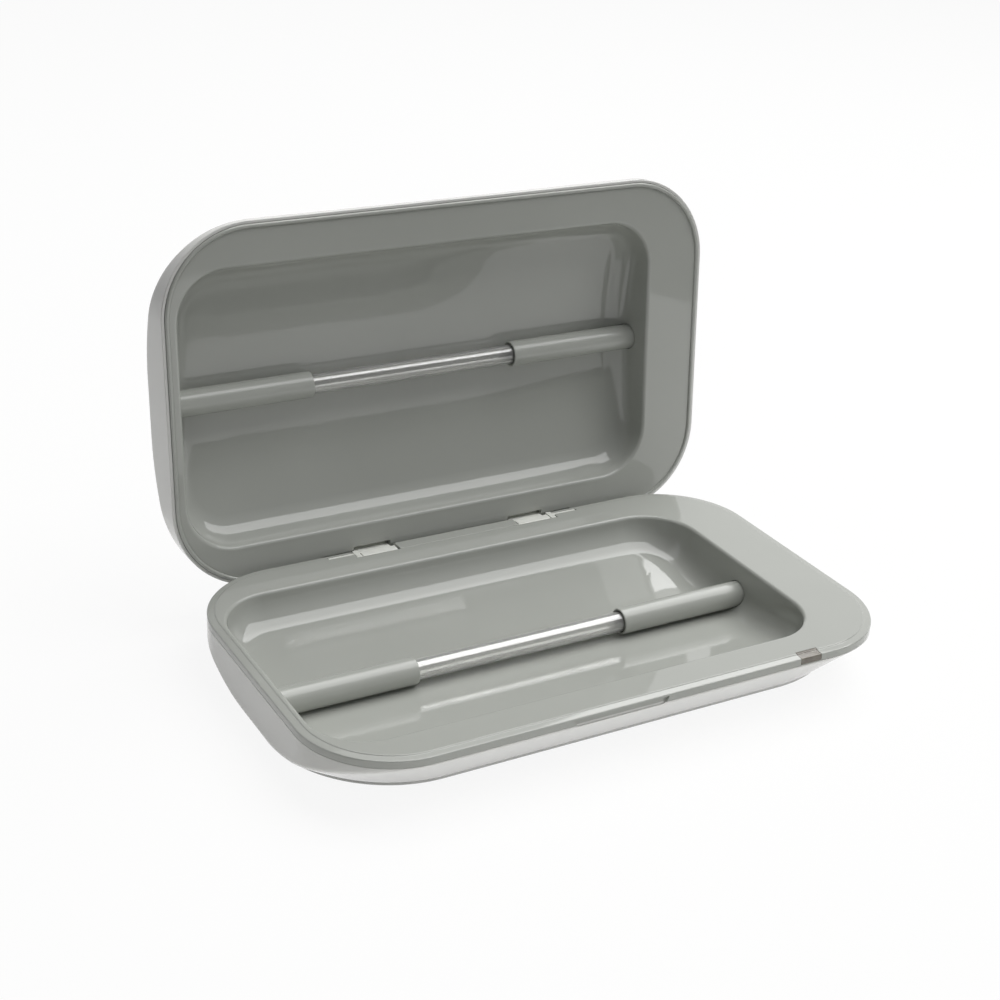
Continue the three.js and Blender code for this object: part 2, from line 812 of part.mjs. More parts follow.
function hingeArm(side) {
  const span = hingeSpan(side, arm_outer, arm_width);
  const block_geometry = alongX(armBlockShape(), span);
  block_geometry.rotateX(open_angle - Math.PI);
  block_geometry.translate(0, lid_axis_y, lid_axis_z);
  const barrel = rodX(barrel_radius, span, lid_axis_y, lid_axis_z);
  const neck = box(span, [lid_axis_y - neck_bottom, lid_axis_y + neck_top],
    [-lid_slab_depth - root_plate_thickness, lid_axis_z]);
  const plate_front = lid_axis_y + neck_top;
  const plate = box(span, [plate_front - root_plate_thickness, plate_front + root_plate_width],
    [-lid_slab_depth - fit - root_plate_thickness, -lid_slab_depth - fit]);
  const rim_side = box(span, [-case_width, 0], [-lid_slab_depth - fit, half_depth]);
  const root = neck.add(plate).intersect(interior(fit).add(rim_side));
  const screw_holes = hingeScrewPlaces(side).map(([x, y]) => rodZ(hinge_screw_diameter / 2 + bore_clearance,
    [-half_depth, 0], x, y));
  const bore_span = hingeSpan(side, 0, hinge_width + overrun);
  const bore = rodX(pin_diameter / 2 + fit, bore_span, lid_axis_y, lid_axis_z);
  return cut(join([solid(block_geometry), barrel, root]), [bore, ...screw_holes]);
}

function hingeScrew() {
  return turned([
    [0, -hinge_screw_head_height - fit],
    [hinge_screw_head / 2, -hinge_screw_head_height - fit],
    [hinge_screw_head / 2, -fit],
    [hinge_screw_diameter / 2, -fit],
    [hinge_screw_diameter / 2, root_plate_thickness + hinge_screw_length],
    [0, root_plate_thickness + hinge_screw_length],
  ]);
}

// Keeper: a cheek beside the arm that the pin passes, and a bar that lies over the pin's outer length
function pinKeeper(side) {
  const cheek = box(hingeSpan(side, 0, cheek_width), [hinge_y - arm_front, case_width / 2 - fit],
    [-hinge_drop - barrel_radius, -arm_flush]);
  const bar = box(hingeSpan(side, -keeper_length, keeper_length + cheek_width / 2),
    [hinge_y - keeper_width / 2, hinge_y + keeper_width / 2],
    [-hinge_drop + pin_diameter / 2 + fit, -keeper_sink]);
  const bore_span = hingeSpan(side, -overrun, cheek_width + overrun + overrun);
  const bore = rodX(pin_diameter / 2 + fit, bore_span, hinge_y, -hinge_drop);
  return cheek.add(bar).subtract(bore);
}

// Lamp set, drawn about the lamp's axis

function sleeve(tray, side) {
  const [mouth, end] = sleeveSpan(tray, side);
  const bore_span = [mouth - overrun * side, end + overrun * side];
  const bore = rodX(sleeve_diameter / 2 - sleeve_wall, bore_span, 0, 0, lamp_steps);
  return rodX(sleeve_diameter / 2, [mouth, end], 0, 0, lamp_steps).subtract(bore);
}

function lampTube() {
  const half_length = (lamp_right_mouth - lamp_left_mouth) / 2 + lamp_tuck;
  const radius = lamp_diameter / 2;
  const profile = [[0, -half_length]];
  for (let step = 0; step <= edge_steps; step += 1) {
    const turn = step / edge_steps * Math.PI / 2;
    profile.push([radius - lamp_end_radius * (1 - Math.sin(turn)),
      -half_length + lamp_end_radius * (1 - Math.cos(turn))]);
  }
  const other_end = profile.map(([r, h]) => [r, -h]).reverse();
  const outline = [...profile, ...other_end].map(([r, h]) => new THREE.Vector2(r, h));
  const geometry = new THREE.LatheGeometry(outline, lamp_steps);
  geometry.rotateZ(-Math.PI / 2);
  geometry.translate((lamp_right_mouth + lamp_left_mouth) / 2, 0, 0);
  return solid(geometry);
}

function lampEndX(side) {
  return side < 0 ? lamp_left_mouth - lamp_tuck : lamp_right_mouth + lamp_tuck;
}

function lampPlug(side) {
  const start = lampEndX(side) + side * fit;
  const end = start + side * plug_length;
  const body = rodX(plug_diameter / 2, [start, end], 0, 0);
  const bore = rodX(lead_diameter / 2 + bore_clearance, [start - side * overrun, end + side * overrun], 0, 0);
  return body.subtract(bore);
}

function lampLead(tray, side) {
  const start = lampEndX(side) + side * fit;
  return rodX(lead_diameter / 2, [start, sleeveSpan(tray, side)[1]], 0, 0, lead_steps);
}

// Pieces that rest in the base

function lightPipe() {
  const pipe = pipeBlocks(0);
  const head = pipe.head.intersect(baseSlabForm());
  return join([head, pipe.foot, pipe.stem]);
}

function baseSlabForm() {
  return baseSlab().add(outlinePrism(shell_wall, [-band_bottom, -slab_thickness / 2]));
}

function indicatorLed() {
  const middle = pipe_left + pipe_width / 2;
  const tub_face = base_tray.y - base_tray.width / 2 - liner_wall;
  return rodY(led_diameter / 2, [-pipe_stem_back + fit, tub_face - fit], middle, -led_drop);
}

function baseScrew() {
  const head_low = -half_depth + screw_head_recess - fit - screw_head_height;
  const head_high = head_low + screw_head_height;
  return turned([
    [0, head_low],
    [screw_head_diameter / 2, head_low],
    [screw_head_diameter / 2, head_high],
    [screw_diameter / 2, head_high],
    [screw_diameter / 2, screw_web_top + screw_reach],
    [0, screw_web_top + screw_reach],
  ]);
}

function rubberFoot() {
  const radius = rubber_foot_diameter / 2;
  const low = -half_depth - rubber_foot_height;
  const high = -half_depth + rubber_foot_recess - fit;
  return turned([
    [0, low],
    [radius - rubber_foot_round, low],
    [radius, low + rubber_foot_round],
    [radius, high],
    [0, high],
  ], lamp_steps);
}

function controlBoard() {
  return box([board_left, board_left + board_width], [-board_half_length, board_half_length],
    [board_bottom, board_top]);
}

function transformer() {
  const middle = board_left + board_width / 2;
  const low = board_top + fit;
  const core = box([middle - transformer_width / 2, middle + transformer_width / 2],
    [transformer_y - transformer_length / 2, transformer_y + transformer_length / 2],
    [low, low + transformer_height]);
  const half_winding = transformer_width / 2 + winding_swell;
  const winding = box([middle - half_winding, middle + half_winding],
    [transformer_y - winding_length / 2, transformer_y + winding_length / 2],
    [low + winding_swell, low + transformer_height + winding_swell]);
  return core.add(winding);
}

function onBoard(height) {
  return [board_top + fit, board_top + fit + height];
}

function controlChip() {
  const middle = board_left + board_width / 2;
  return box([middle - chip_width, middle], [chip_y - chip_length / 2, chip_y + chip_length / 2],
    onBoard(chip_height));
}

function powerInlet() {
  const middle_z = inlet_bottom + inlet_height / 2;
  const body = box([inlet_face - inlet_length, inlet_face],
    [inlet_y - inlet_width / 2, inlet_y + inlet_width / 2],
    [inlet_bottom, inlet_bottom + inlet_height]);
  const bore = rodX(inlet_bore / 2, [inlet_face - inlet_bore_depth, inlet_face + overrun], inlet_y, middle_z);
  const pin = rodX(inlet_pin / 2, [inlet_face - inlet_bore_depth - overrun, inlet_face - inlet_pin_set_back],
    inlet_y, middle_z);
  return body.subtract(bore).add(pin);
}

// Assembly

function piece(parent, name, body, finish, place = [0, 0, 0]) {
  const mesh = new THREE.Mesh(surface(body), new THREE.MeshStandardMaterial(finishes[finish]));
  mesh.name = name;
  mesh.position.set(...place);
  parent.add(mesh);
}

function sideName(side) {
  return side < 0 ? 'left' : 'right';
}

function lampSet(parent, prefix, tray, lamp_y) {
  const place = [0, lamp_y, -lamp_depth];
  piece(parent, `${prefix}_lamp_tube`, lampTube(), 'glass', place);
  [-1, 1].forEach((side) => {
    piece(parent, `${prefix}_lamp_sleeve_${sideName(side)}`, sleeve(tray, side), 'liner', place);
    piece(parent, `${prefix}_lamp_plug_${sideName(side)}`, lampPlug(side), 'silicone', place);
    piece(parent, `${prefix}_lamp_lead_${sideName(side)}`, lampLead(tray, side), 'copper', place);
  });
}

function base() {
  const half = new THREE.Group();
  half.position.z = half_depth;
  piece(half, 'base_outer_shell', baseShell(), 'shell');
  piece(half, 'base_liner', baseLiner(), 'liner');
  lampSet(half, 'base', base_tray, -lamp_to_front);
  [-1, 1].forEach((side) => {
    piece(half, `hinge_pin_${sideName(side)}`,
      rodX(pin_diameter / 2, hingeSpan(side, pin_outer, pin_length), hinge_y, -hinge_drop), 'steel');
    piece(half, `hinge_pin_keeper_${sideName(side)}`, pinKeeper(side), 'white');
  });
  screwPlaces().forEach(([x, y], index) => {
    piece(half, `base_screw_${index + 1}`, baseScrew(), 'steel', [x, y, 0]);
  });
  footPlaces().forEach(([x, y], index) => {
    piece(half, `rubber_foot_${index + 1}`, rubberFoot(), 'rubber', [x, y, 0]);
  });
  piece(half, 'indicator_light_pipe', lightPipe(), 'smoke');
  piece(half, 'indicator_led', indicatorLed(), 'led');
  piece(half, 'control_board', controlBoard(), 'board');
  piece(half, 'inverter_transformer', transformer(), 'copper');
  piece(half, 'inverter_capacitor', rodZ(capacitor_diameter / 2, onBoard(capacitor_height),
    board_left + board_width / 2, capacitor_y), 'black');
  piece(half, 'control_chip', controlChip(), 'black');
  piece(half, 'power_inlet', powerInlet(), 'black');
  const switch_z = -slab_thickness - fit - switch_diameter / 2;
  piece(half, 'lid_reed_switch', rodY(switch_diameter / 2, [-switch_length / 2, switch_length / 2], switch_x,
    switch_z), 'glass');
  return half;
}

function lid() {
  const half = new THREE.Group();
  half.position.set(0, -lid_axis_y, -lid_axis_z);
  piece(half, 'lid_outer_shell', lidShell(), 'shell');
  piece(half, 'lid_liner', lidLiner(), 'liner');
  lampSet(half, 'lid', lid_tray, lamp_to_front);
  const screw_z = -lid_slab_depth - fit - root_plate_thickness;
  [-1, 1].forEach((side) => {
    piece(half, `hinge_arm_${sideName(side)}`, hingeArm(side), 'white');
    hingeScrewPlaces(side).forEach(([x, y], index) => {
      piece(half, `hinge_screw_${sideName(side)}_${index + 1}`, hingeScrew(), 'steel', [x, y, screw_z]);
    });
  });
  const magnet_top = -lid_slab_depth - fit;
  const magnet_span = [magnet_top - magnet_thickness, magnet_top];
  piece(half, 'lid_magnet', rodZ(magnet_diameter / 2, magnet_span, switch_x, 0), 'steel');
  const swing = new THREE.Group();
  swing.position.set(0, hinge_y, half_depth - hinge_drop);
  swing.rotation.x = Math.PI - open_angle;
  swing.add(half);
  return swing;
}

const sanitizer = new THREE.Group();
sanitizer.add(base());
sanitizer.add(lid());

export default sanitizer;
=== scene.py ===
"""Looks of an ultraviolet sanitizer box: two moulded halves on a hinge, with a lamp in each tray.

Lengths in the classes are millimetres. Each half of the case is drawn with its rim up and
its rim plane at z = 0, and is then set in its place on the part.
"""

import sys

import logging
import math
from dataclasses import dataclass, replace
from enum import Enum
from functools import reduce
from typing import Callable, ClassVar

import bmesh
import bpy
from mathutils import Matrix, Vector

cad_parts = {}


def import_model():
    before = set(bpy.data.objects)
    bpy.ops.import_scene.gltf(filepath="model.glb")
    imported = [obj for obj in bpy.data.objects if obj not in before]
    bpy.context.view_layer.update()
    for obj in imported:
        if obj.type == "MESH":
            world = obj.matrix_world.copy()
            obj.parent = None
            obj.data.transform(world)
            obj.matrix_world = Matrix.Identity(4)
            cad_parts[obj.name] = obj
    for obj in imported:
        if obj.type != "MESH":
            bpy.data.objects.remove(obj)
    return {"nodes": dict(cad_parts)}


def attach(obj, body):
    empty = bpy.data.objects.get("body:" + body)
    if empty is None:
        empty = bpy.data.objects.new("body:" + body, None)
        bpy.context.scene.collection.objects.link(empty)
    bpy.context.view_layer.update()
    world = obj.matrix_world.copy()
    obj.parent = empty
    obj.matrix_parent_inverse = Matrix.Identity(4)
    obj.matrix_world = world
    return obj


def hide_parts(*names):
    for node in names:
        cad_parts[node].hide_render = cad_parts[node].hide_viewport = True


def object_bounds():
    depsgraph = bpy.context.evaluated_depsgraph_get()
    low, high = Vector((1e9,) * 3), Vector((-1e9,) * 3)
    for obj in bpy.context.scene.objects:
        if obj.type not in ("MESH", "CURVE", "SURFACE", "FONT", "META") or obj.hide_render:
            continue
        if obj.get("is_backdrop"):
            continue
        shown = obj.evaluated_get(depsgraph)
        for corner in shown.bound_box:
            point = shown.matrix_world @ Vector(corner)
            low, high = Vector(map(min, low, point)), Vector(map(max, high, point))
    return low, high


LOG = logging.getLogger("sanitizer")
MILLIMETRE = 0.001
MERGE = 1e-4  # Points nearer than this become one.
OVERRUN = 2.0  # How far a cutting tool runs past what it cuts.
SHARP_DEGREES = 32.0  # Edges that turn by more than this stay sharp.
PIN_STEPS = 32  # Steps round pins, screws and their bores.
TURNED_STEPS = 48  # Steps round other turned pieces.
TUBE_STEPS = 64  # Steps round the lamps, their sleeves and the notches.

Mesh = bmesh.types.BMesh
Span = tuple[float, float]
Outline = list[tuple[float, float]]
Place = Callable[[Vector, Vector], Vector]


class Body(Enum):
    """The two bodies that the hinge joins."""

    BASE = "base"
    LID = "lid"


class Side(Enum):
    """Left or right end of the case, as a sign along X."""

    LEFT = -1
    RIGHT = 1

    @property
    def word(self) -> str:
        """The side's name, as the pieces carry it."""
        return self.name.lower()


class Join(Enum):
    """How one closed mesh acts on another."""

    CUT = "DIFFERENCE"
    ADD = "UNION"
    KEEP = "INTERSECT"


class Axis(Enum):
    """The direction that a prism is pulled in."""

    X = (1.0, 0.0, 0.0)
    Y = (0.0, 1.0, 0.0)


def linear(colour: str) -> tuple[float, float, float, float]:
    """Turns an sRGB hex colour to linear light.

    Args:
        colour: The colour as #rrggbb.

    Returns:
        Red, green, blue and an alpha of 1.
    """
    parts = [int(colour[i : i + 2], 16) / 255 for i in (1, 3, 5)]
    light = [p / 12.92 if p <= 0.04045 else ((p + 0.055) / 1.055) ** 2.4 for p in parts]
    return (*light, 1.0)


def add_node(tree: bpy.types.NodeTree, kind: str, **inputs: object) -> bpy.types.Node:
    """Adds a shader node with its settings and links.

    Args:
        tree: The node tree that it goes in.
        kind: The node's type, without the word ShaderNode.
        **inputs: Socket values or sockets to link, by socket name with _ for a space, or
            by n and the socket's number. A name that is the node's own property is set on
            the node.

    Returns:
        The node.
    """
    node = tree.nodes.new("ShaderNode" + kind)
    settings = {k: v for k, v in inputs.items() if k in node.bl_rna.properties}
    for key, value in settings.items():
        setattr(node, key, value)
    for key, value in inputs.items():
        if key in settings:
            continue
        name = key.replace("_", " ")
        socket = node.inputs[int(key[1:])] if key[0] == "n" and key[1:].isdigit() else node.inputs[name]
        if isinstance(value, bpy.types.NodeSocket):
            tree.links.new(value, socket)
        else:
            socket.default_value = value
    return node


@dataclass(frozen=True)
class Pattern:
    """A noise pattern: the real size of one of its patches, and its octaves."""

    size_mm: float
    octaves: float = 2.0


@dataclass(frozen=True)
class Finish:
    """A material and how its surface was made: two close colours that wander into each
    other, a roughness that varies between two values, and a shallow relief of the skin."""

    name: str
    colour: str
    second: str
    roughness: Span
    gloss: Pattern
    skin: Pattern
    skin_depth_mm: float
    tint: Pattern = Pattern(1.5)
    sockets: tuple[tuple[str, float], ...] = ()
    gloss_ends: ClassVar[Span] = (0.3, 0.7)
    tint_ends: ClassVar[Span] = (0.35, 0.65)

    def material(self) -> bpy.types.Material:
        """Gives the finish's material, made on first use.

        Returns:
            The material.
        """
        found = bpy.data.materials.get(self.name)
        if found is not None:
            return found
        made = bpy.data.materials.new(self.name)
        made.use_nodes = True
        tree = made.node_tree
        tree.nodes.clear()
        shader = add_node(tree, "BsdfPrincipled", Base_Color=linear(self.colour))
        for socket, value in self.sockets:
            shader.inputs[socket].default_value = value
        add_node(tree, "OutputMaterial", Surface=shader.outputs["BSDF"], is_active_output=True)
        self._dress(tree, shader)
        return made

    def _pattern(self, tree: bpy.types.NodeTree, pattern: Pattern) -> bpy.types.NodeSocket:
        """Adds a pattern on the piece's own coordinates.

        Args:
            tree: The material's nodes.
            pattern: The pattern.

        Returns:
            The socket of its value.
        """
        place = add_node(tree, "TexCoord").outputs["Object"]
        scale = 1 / (pattern.size_mm * MILLIMETRE)
        return add_node(tree, "TexNoise", Vector=place, Scale=scale, Detail=pattern.octaves).outputs[0]

    def _dress(self, tree: bpy.types.NodeTree, shader: bpy.types.Node) -> None:
        """Adds the patterns of colour, roughness and skin.

        Args:
            tree: The material's nodes.
            shader: Its Principled shader.
        """
        if self.second:
            ramp = add_node(tree, "ValToRGB", Fac=self._pattern(tree, self.tint))
            for number, colour in enumerate((self.colour, self.second)):
                stop = ramp.color_ramp.elements[number]
                stop.position = self.tint_ends[number]
                stop.color = linear(colour)
            tree.links.new(ramp.outputs["Color"], shader.inputs["Base Color"])
        gloss = self._pattern(tree, self.gloss)
        ends = dict(zip(("From_Min", "From_Max", "To_Min", "To_Max"), (*self.gloss_ends, *self.roughness)))
        spread = add_node(tree, "MapRange", Value=gloss, **ends)
        tree.links.new(spread.outputs["Result"], shader.inputs["Roughness"])
        skin = self._pattern(tree, self.skin)
        bump = add_node(tree, "Bump", Height=skin, Distance=self.skin_depth_mm * MILLIMETRE, Strength=1.0)
        tree.links.new(bump.outputs["Normal"], shader.inputs["Normal"])


@dataclass(frozen=True)
class MouldedAbs(Finish):
    """Glossy injection-moulded ABS: a polished mould leaves clear reflections with a
    slight flow waviness, and the colour goes right through."""

    roughness: Span = (0.02, 0.05)
    gloss: Pattern = Pattern(6.0, 4.0)
    skin: Pattern = Pattern(18.0)
    skin_depth_mm: float = 0.005
    tint: Pattern = Pattern(45.0)
    sockets: tuple[tuple[str, float], ...] = (("IOR", 1.54),)


@dataclass(frozen=True)
class MouldedNylon(Finish):
    """Satin moulded nylon, with the fine spark-eroded grain of its mould."""

    roughness: Span = (0.36, 0.46)
    gloss: Pattern = Pattern(2.0)
    skin: Pattern = Pattern(0.35, 4.0)
    skin_depth_mm: float = 0.004
    tint: Pattern = Pattern(4.0)
    sockets: tuple[tuple[str, float], ...] = (("IOR", 1.53),)


@dataclass(frozen=True)
class DrawnGlass(Finish):
    """Drawn quartz glass: clear and smooth, with the faint waves of its drawing. Its rough
    coat lends the streak on a tube a soft edge."""

    second: str = ""
    roughness: Span = (0.0, 0.03)
    gloss: Pattern = Pattern(5.0)
    skin: Pattern = Pattern(14.0)
    skin_depth_mm: float = 0.0008
    sockets: tuple[tuple[str, float], ...] = (
        ("IOR", 1.65),
        ("Transmission Weight", 0.85),
        ("Specular IOR Level", 1.0),
        ("Coat Weight", 0.7),
        ("Coat IOR", 1.8),
        ("Coat Roughness", 0.14),
    )


@dataclass(frozen=True)
class SmokedPolycarbonate(Finish):
    """Moulded smoky polycarbonate, half clear, that lets a lamp's light through."""

    roughness: Span = (0.1, 0.2)
    gloss: Pattern = Pattern(1.2)
    skin: Pattern = Pattern(1.8)
    skin_depth_mm: float = 0.01
    tint: Pattern = Pattern(2.4)
    sockets: tuple[tuple[str, float], ...] = (("IOR", 1.585), ("Transmission Weight", 0.45))


@dataclass(frozen=True)
class ZincSteel(Finish):
    """Bright zinc-plated steel with a fine turned grain."""

    roughness: Span = (0.22, 0.38)
    gloss: Pattern = Pattern(0.5, 4.0)
    skin: Pattern = Pattern(0.2)
    skin_depth_mm: float = 0.003
    sockets: tuple[tuple[str, float], ...] = (("Metallic", 1.0),)


@dataclass(frozen=True)
class SoftMoulding(Finish):
    """Moulded rubber or silicone: dull, with a dusty bloom and a grainy skin."""

    roughness: Span = (0.64, 0.8)
    gloss: Pattern = Pattern(1.0)
    skin: Pattern = Pattern(0.3, 4.0)
    skin_depth_mm: float = 0.012
    tint: Pattern = Pattern(1.4, 5.0)
    sockets: tuple[tuple[str, float], ...] = (("IOR", 1.42),)


def component(
    name: str, colour: str, second: str, roughness: float, mottle_mm: float, metallic: float = 0.0
) -> Finish:
    """Gives the finish of a component: an even coating with a slight mottle.

    Args:
        name: The finish's name.
        colour: Its colour, as #rrggbb.
        second: The colour that it wanders to.
        roughness: Its mean roughness.
        mottle_mm: Real size of the mottle's patches.
        metallic: 1 for bare metal.

    Returns:
        The finish.
    """
    spread = 0.06
    return Finish(
        name,
        colour,
        second,
        roughness=(roughness - spread, roughness + spread),
        gloss=Pattern(mottle_mm / 2),
        skin=Pattern(mottle_mm / 4),
        skin_depth_mm=0.006,
        tint=Pattern(mottle_mm, 4.0),
        sockets=(("Metallic", metallic),),
    )


# The shells' ABS is nearly white, and its polish mirrors the floor and the backdrop.
SHELL_ABS = MouldedAbs("shell_abs_gloss_moulded", "#dfdfdb", "#dcdcd8")
# The liners' ABS is a mid grey with the same polish, so that the trays mirror the room.
LINER_ABS = MouldedAbs("liner_abs_gloss_moulded", "#b2b4ae", "#afb1ab")
# The sleeves come from a satin mould, which makes their highlights broad and soft.
SLEEVE_ABS = MouldedAbs("sleeve_abs_satin_moulded", "#b2b4ae", "#afb1ab", roughness=(0.2, 0.23))
# The hinges' nylon is a warm white that shines only softly.
HINGE_NYLON = MouldedNylon("hinge_nylon_moulded", "#f1f2eb", "#eaebe4")
# The lamps' quartz is clear, with bright streaks where its wall turns to the light.
LAMP_QUARTZ = DrawnGlass("lamp_quartz_glass_drawn", "#fdfdfb")
# The window's polycarbonate is a brownish grey that looks deep rather than painted.
PIPE_SMOKE = SmokedPolycarbonate("light_pipe_polycarbonate_smoked", "#a39c8e", "#8e867a")
# Pins and screws are grey and bright, with a satin grain from turning.
PLATED_STEEL = ZincSteel("zinc_plated_steel_turned", "#b9bbbd", "#9fa1a2")
# The feet's rubber is a dull dark grey with a lighter bloom.
FOOT_RUBBER = SoftMoulding("foot_rubber_moulded", "#6a6c6b", "#7a7b79")
# The plugs' silicone is milky and a little smoother than the rubber.
PLUG_SILICONE = SoftMoulding("plug_silicone_moulded", "#d9d9d2", "#e6e6e0", roughness=(0.49, 0.65))
# Tinned wire is bright, with a fine yellowish mottle.
TINNED_WIRE = component("lead_wire_tinned", "#b8b6ae", "#a3a198", 0.3, 0.6, 1.0)
# Solder mask is a lacquer green, darker in broad patches.
SOLDER_MASK = component("circuit_board_solder_mask", "#2f6b42", "#275c38", 0.35, 3.0)
# Pressed ferrite and its tape are nearly black and matt.
FERRITE = component("transformer_ferrite_and_tape", "#3b3a38", "#54504a", 0.6, 0.8)
# The shrunk sleeve of a can is black and shiny.
CAN_SLEEVE = component("capacitor_can_sleeve", "#23262b", "#2d3138", 0.3, 2.0)
# Moulded PBT is black with a fine satin grain.
BLACK_PBT = component("inlet_pbt_moulded", "#232426", "#2b2c2e", 0.42, 0.8)
# Cast epoxy is a smooth bluish white.
LED_EPOXY = component("indicator_led_epoxy", "#dfe3ea", "#cfd4dd", 0.15, 1.0)
# Nickel plate is a warm, bright metal.
MAGNET_NICKEL = component("magnet_nickel_plate", "#b5b2aa", "#a6a39b", 0.25, 2.0, 1.0)


@dataclass(frozen=True)
class RoundedPlan:
    """A rectangle with round corners, seen from above."""

    half_x: float
    half_y: float
    radius: float
    x: float = 0.0
    y: float = 0.0
    tightest: ClassVar[float] = 0.6  # Least corner radius of a plan that is moved inwards.
    least: ClassVar[float] = 1e-9  # Keeps a direction along an axis from dividing by zero.

    def inset(self, amount: float) -> "RoundedPlan":
        """Gives the plan moved inwards.

        Args:
            amount: How far.

        Returns:
            The smaller plan.
        """
        return replace(
            self,
            half_x=self.half_x - amount,
            half_y=self.half_y - amount,
            radius=max(self.radius - amount, self.tightest),
        )

    def towards(self, other: "RoundedPlan", share: float) -> "RoundedPlan":
        """Gives the plan between this one and another, round the middle.

        Args:
            other: The other plan.
            share: How much of the way to it, from 0 to 1.

        Returns:
            The plan.
        """
        return RoundedPlan(
            self.half_x + (other.half_x - self.half_x) * share,
            self.half_y + (other.half_y - self.half_y) * share,
            self.radius + (other.radius - self.radius) * share,
        )

    def point(self, corner: Vector, out: Vector, z: float = 0.0) -> Vector:
        """Gives the point of one column on the plan's edge.

        Args:
            corner: Place between the corner centres, each coordinate from -1 to 1.
            out: Outward direction there.
            z: Height of the point.

        Returns:
            The point.
        """
        return Vector(
            (
                self.x + corner.x * (self.half_x - self.radius) + out.x * self.radius,
                self.y + corner.y * (self.half_y - self.radius) + out.y * self.radius,
                z,
            )
        )

    def ring(self, z: float, inset: float = 0.0) -> Place:
        """Gives the level ring at a height.

        Args:
            z: Height of the ring.
            inset: How far inside the plan it lies.

        Returns:
            The ring's place function.
        """
        plan = self.inset(inset) if inset else self
        return lambda corner, out: plan.point(corner, out, z)

    def reach(self, along: Vector) -> float:
        """Gives the distance from the middle to the plan's edge.

        Args:
            along: A unit direction.

        Returns:
            The distance along it.
        """
        dx, dy = max(abs(along.x), self.least), max(abs(along.y), self.least)
        if self.half_x * dy / dx <= self.half_y - self.radius:
            return self.half_x / dx
        if self.half_y * dx / dy <= self.half_x - self.radius:
            return self.half_y / dy
        cx, cy = self.half_x - self.radius, self.half_y - self.radius
        middle = dx * cx + dy * cy
        return middle + math.sqrt(max(middle**2 - cx**2 - cy**2 + self.radius**2, 0.0))


class RingLoft:
    """A skin drawn through rings of one column pattern, ring by ring, by extrusion."""

    corner: ClassVar[float] = 1.0

    def __init__(self, corner_segments: int, long_cuts: int, end_cuts: int) -> None:
        """Draws the pattern: a square with round corners whose sides are cut up.

        Args:
            corner_segments: Segments of each corner.
            long_cuts: Cuts of each side that runs along X.
            end_cuts: Cuts of each side that runs along Y.
        """
        self.mesh = bmesh.new()
        bmesh.ops.create_grid(self.mesh, x_segments=1, y_segments=1, size=2 * self.corner)
        bmesh.ops.bevel(
            self.mesh,
            geom=self.mesh.verts[:],
            offset=self.corner,
            offset_type="OFFSET",
            segments=corner_segments,
            profile=0.5,
            affect="VERTICES",
            material=-1,
        )
        bmesh.ops.delete(self.mesh, geom=self.mesh.faces[:], context="FACES_ONLY")
        straight = [e for e in self.mesh.edges if e.calc_length() > self.corner]
        ends = [e for e in straight if abs(e.verts[0].co.x - e.verts[1].co.x) < MERGE]
        for edges, cuts in ((ends, end_cuts), ([e for e in straight if e not in ends], long_cuts)):
            bmesh.ops.subdivide_edges(self.mesh, edges=edges, cuts=cuts)
        self.columns: dict[bmesh.types.BMVert, tuple[Vector, Vector]] = {}
        for vert in self.mesh.verts:
            centre = Vector([max(-self.corner, min(self.corner, v)) for v in (vert.co.x, vert.co.y, 0.0)])
            self.columns[vert] = (centre, (vert.co - centre).normalized())
        self.edges = self.mesh.edges[:]
        self.placed = False

    def to(self, *places: Place) -> "RingLoft":
        """Carries the skin on to further rings.

        Args:
            *places: Place functions of the rings, in order.

        Returns:
            The loft itself.
        """
        for place in places:
            if self.placed:
                self._extrude()
            self.placed = True
            for vert, (corner, out) in self.columns.items():
                vert.co = place(corner, out)
        return self

    def _extrude(self) -> None:
        """Pulls a new ring out of the last one."""
        made = bmesh.ops.extrude_edge_only(self.mesh, edges=self.edges)["geom"]
        fresh = {g for g in made if isinstance(g, bmesh.types.BMVert)}
        self.edges = [g for g in made if isinstance(g, bmesh.types.BMEdge) and set(g.verts) <= fresh]
        self.columns = {
            next(e.other_vert(vert) for e in vert.link_edges if e.other_vert(vert) in fresh): column
            for vert, column in self.columns.items()
        }

    def cap(self) -> "RingLoft":
        """Closes the skin with a face over the last ring, and returns the loft itself."""
        bmesh.ops.contextual_create(self.mesh, geom=self.edges)
        return self

    def closed(self) -> Mesh:
        """Gives the finished mesh, its faces outwards.

        Returns:
            The mesh.
        """
        bmesh.ops.remove_doubles(self.mesh, verts=self.mesh.verts[:], dist=MERGE)
        bmesh.ops.recalc_face_normals(self.mesh, faces=self.mesh.faces[:])
        return self.mesh


def turns(segments: int, start: float = 0.0, end: float = 90.0) -> list[float]:
    """Gives the angles of an arc, in radians, both ends included.

    Args:
        segments: Segments of the arc.
        start: First angle in degrees.
        end: Last angle in degrees.

    Returns:
        The angles.
    """
    return [math.radians(start + (end - start) * i / segments) for i in range(segments + 1)]


def arc(centre: Span, radius: float, segments: int, start: float, end: float) -> Outline:
    """Gives the points of an arc, both ends included.

    Args:
        centre: Its centre.
        radius: Its radius.
        segments: Its segments.
        start: First angle in degrees.
        end: Last angle in degrees.

    Returns:
        The points.
    """
    x, y = centre
    return [(x + radius * math.cos(t), y + radius * math.sin(t)) for t in turns(segments, start, end)]


def rounded_ends(
    radius: float, low: float, high: float, edge: float, segments: int
) -> tuple[Outline, Outline]:
    """Gives the rounded outer edges of a turned piece.

    Args:
        radius: The piece's radius.
        low: Its lower end.
        high: Its upper end.
        edge: Radius of the edges.
        segments: Segments of each edge.

    Returns:
        The profile's points (radius, height) at the lower end, and at the upper one.
    """
    lower = arc((radius - edge, low + edge), edge, segments, -90, 0)
    upper = arc((radius - edge, high - edge), edge, segments, 0, 90)
    return lower, upper


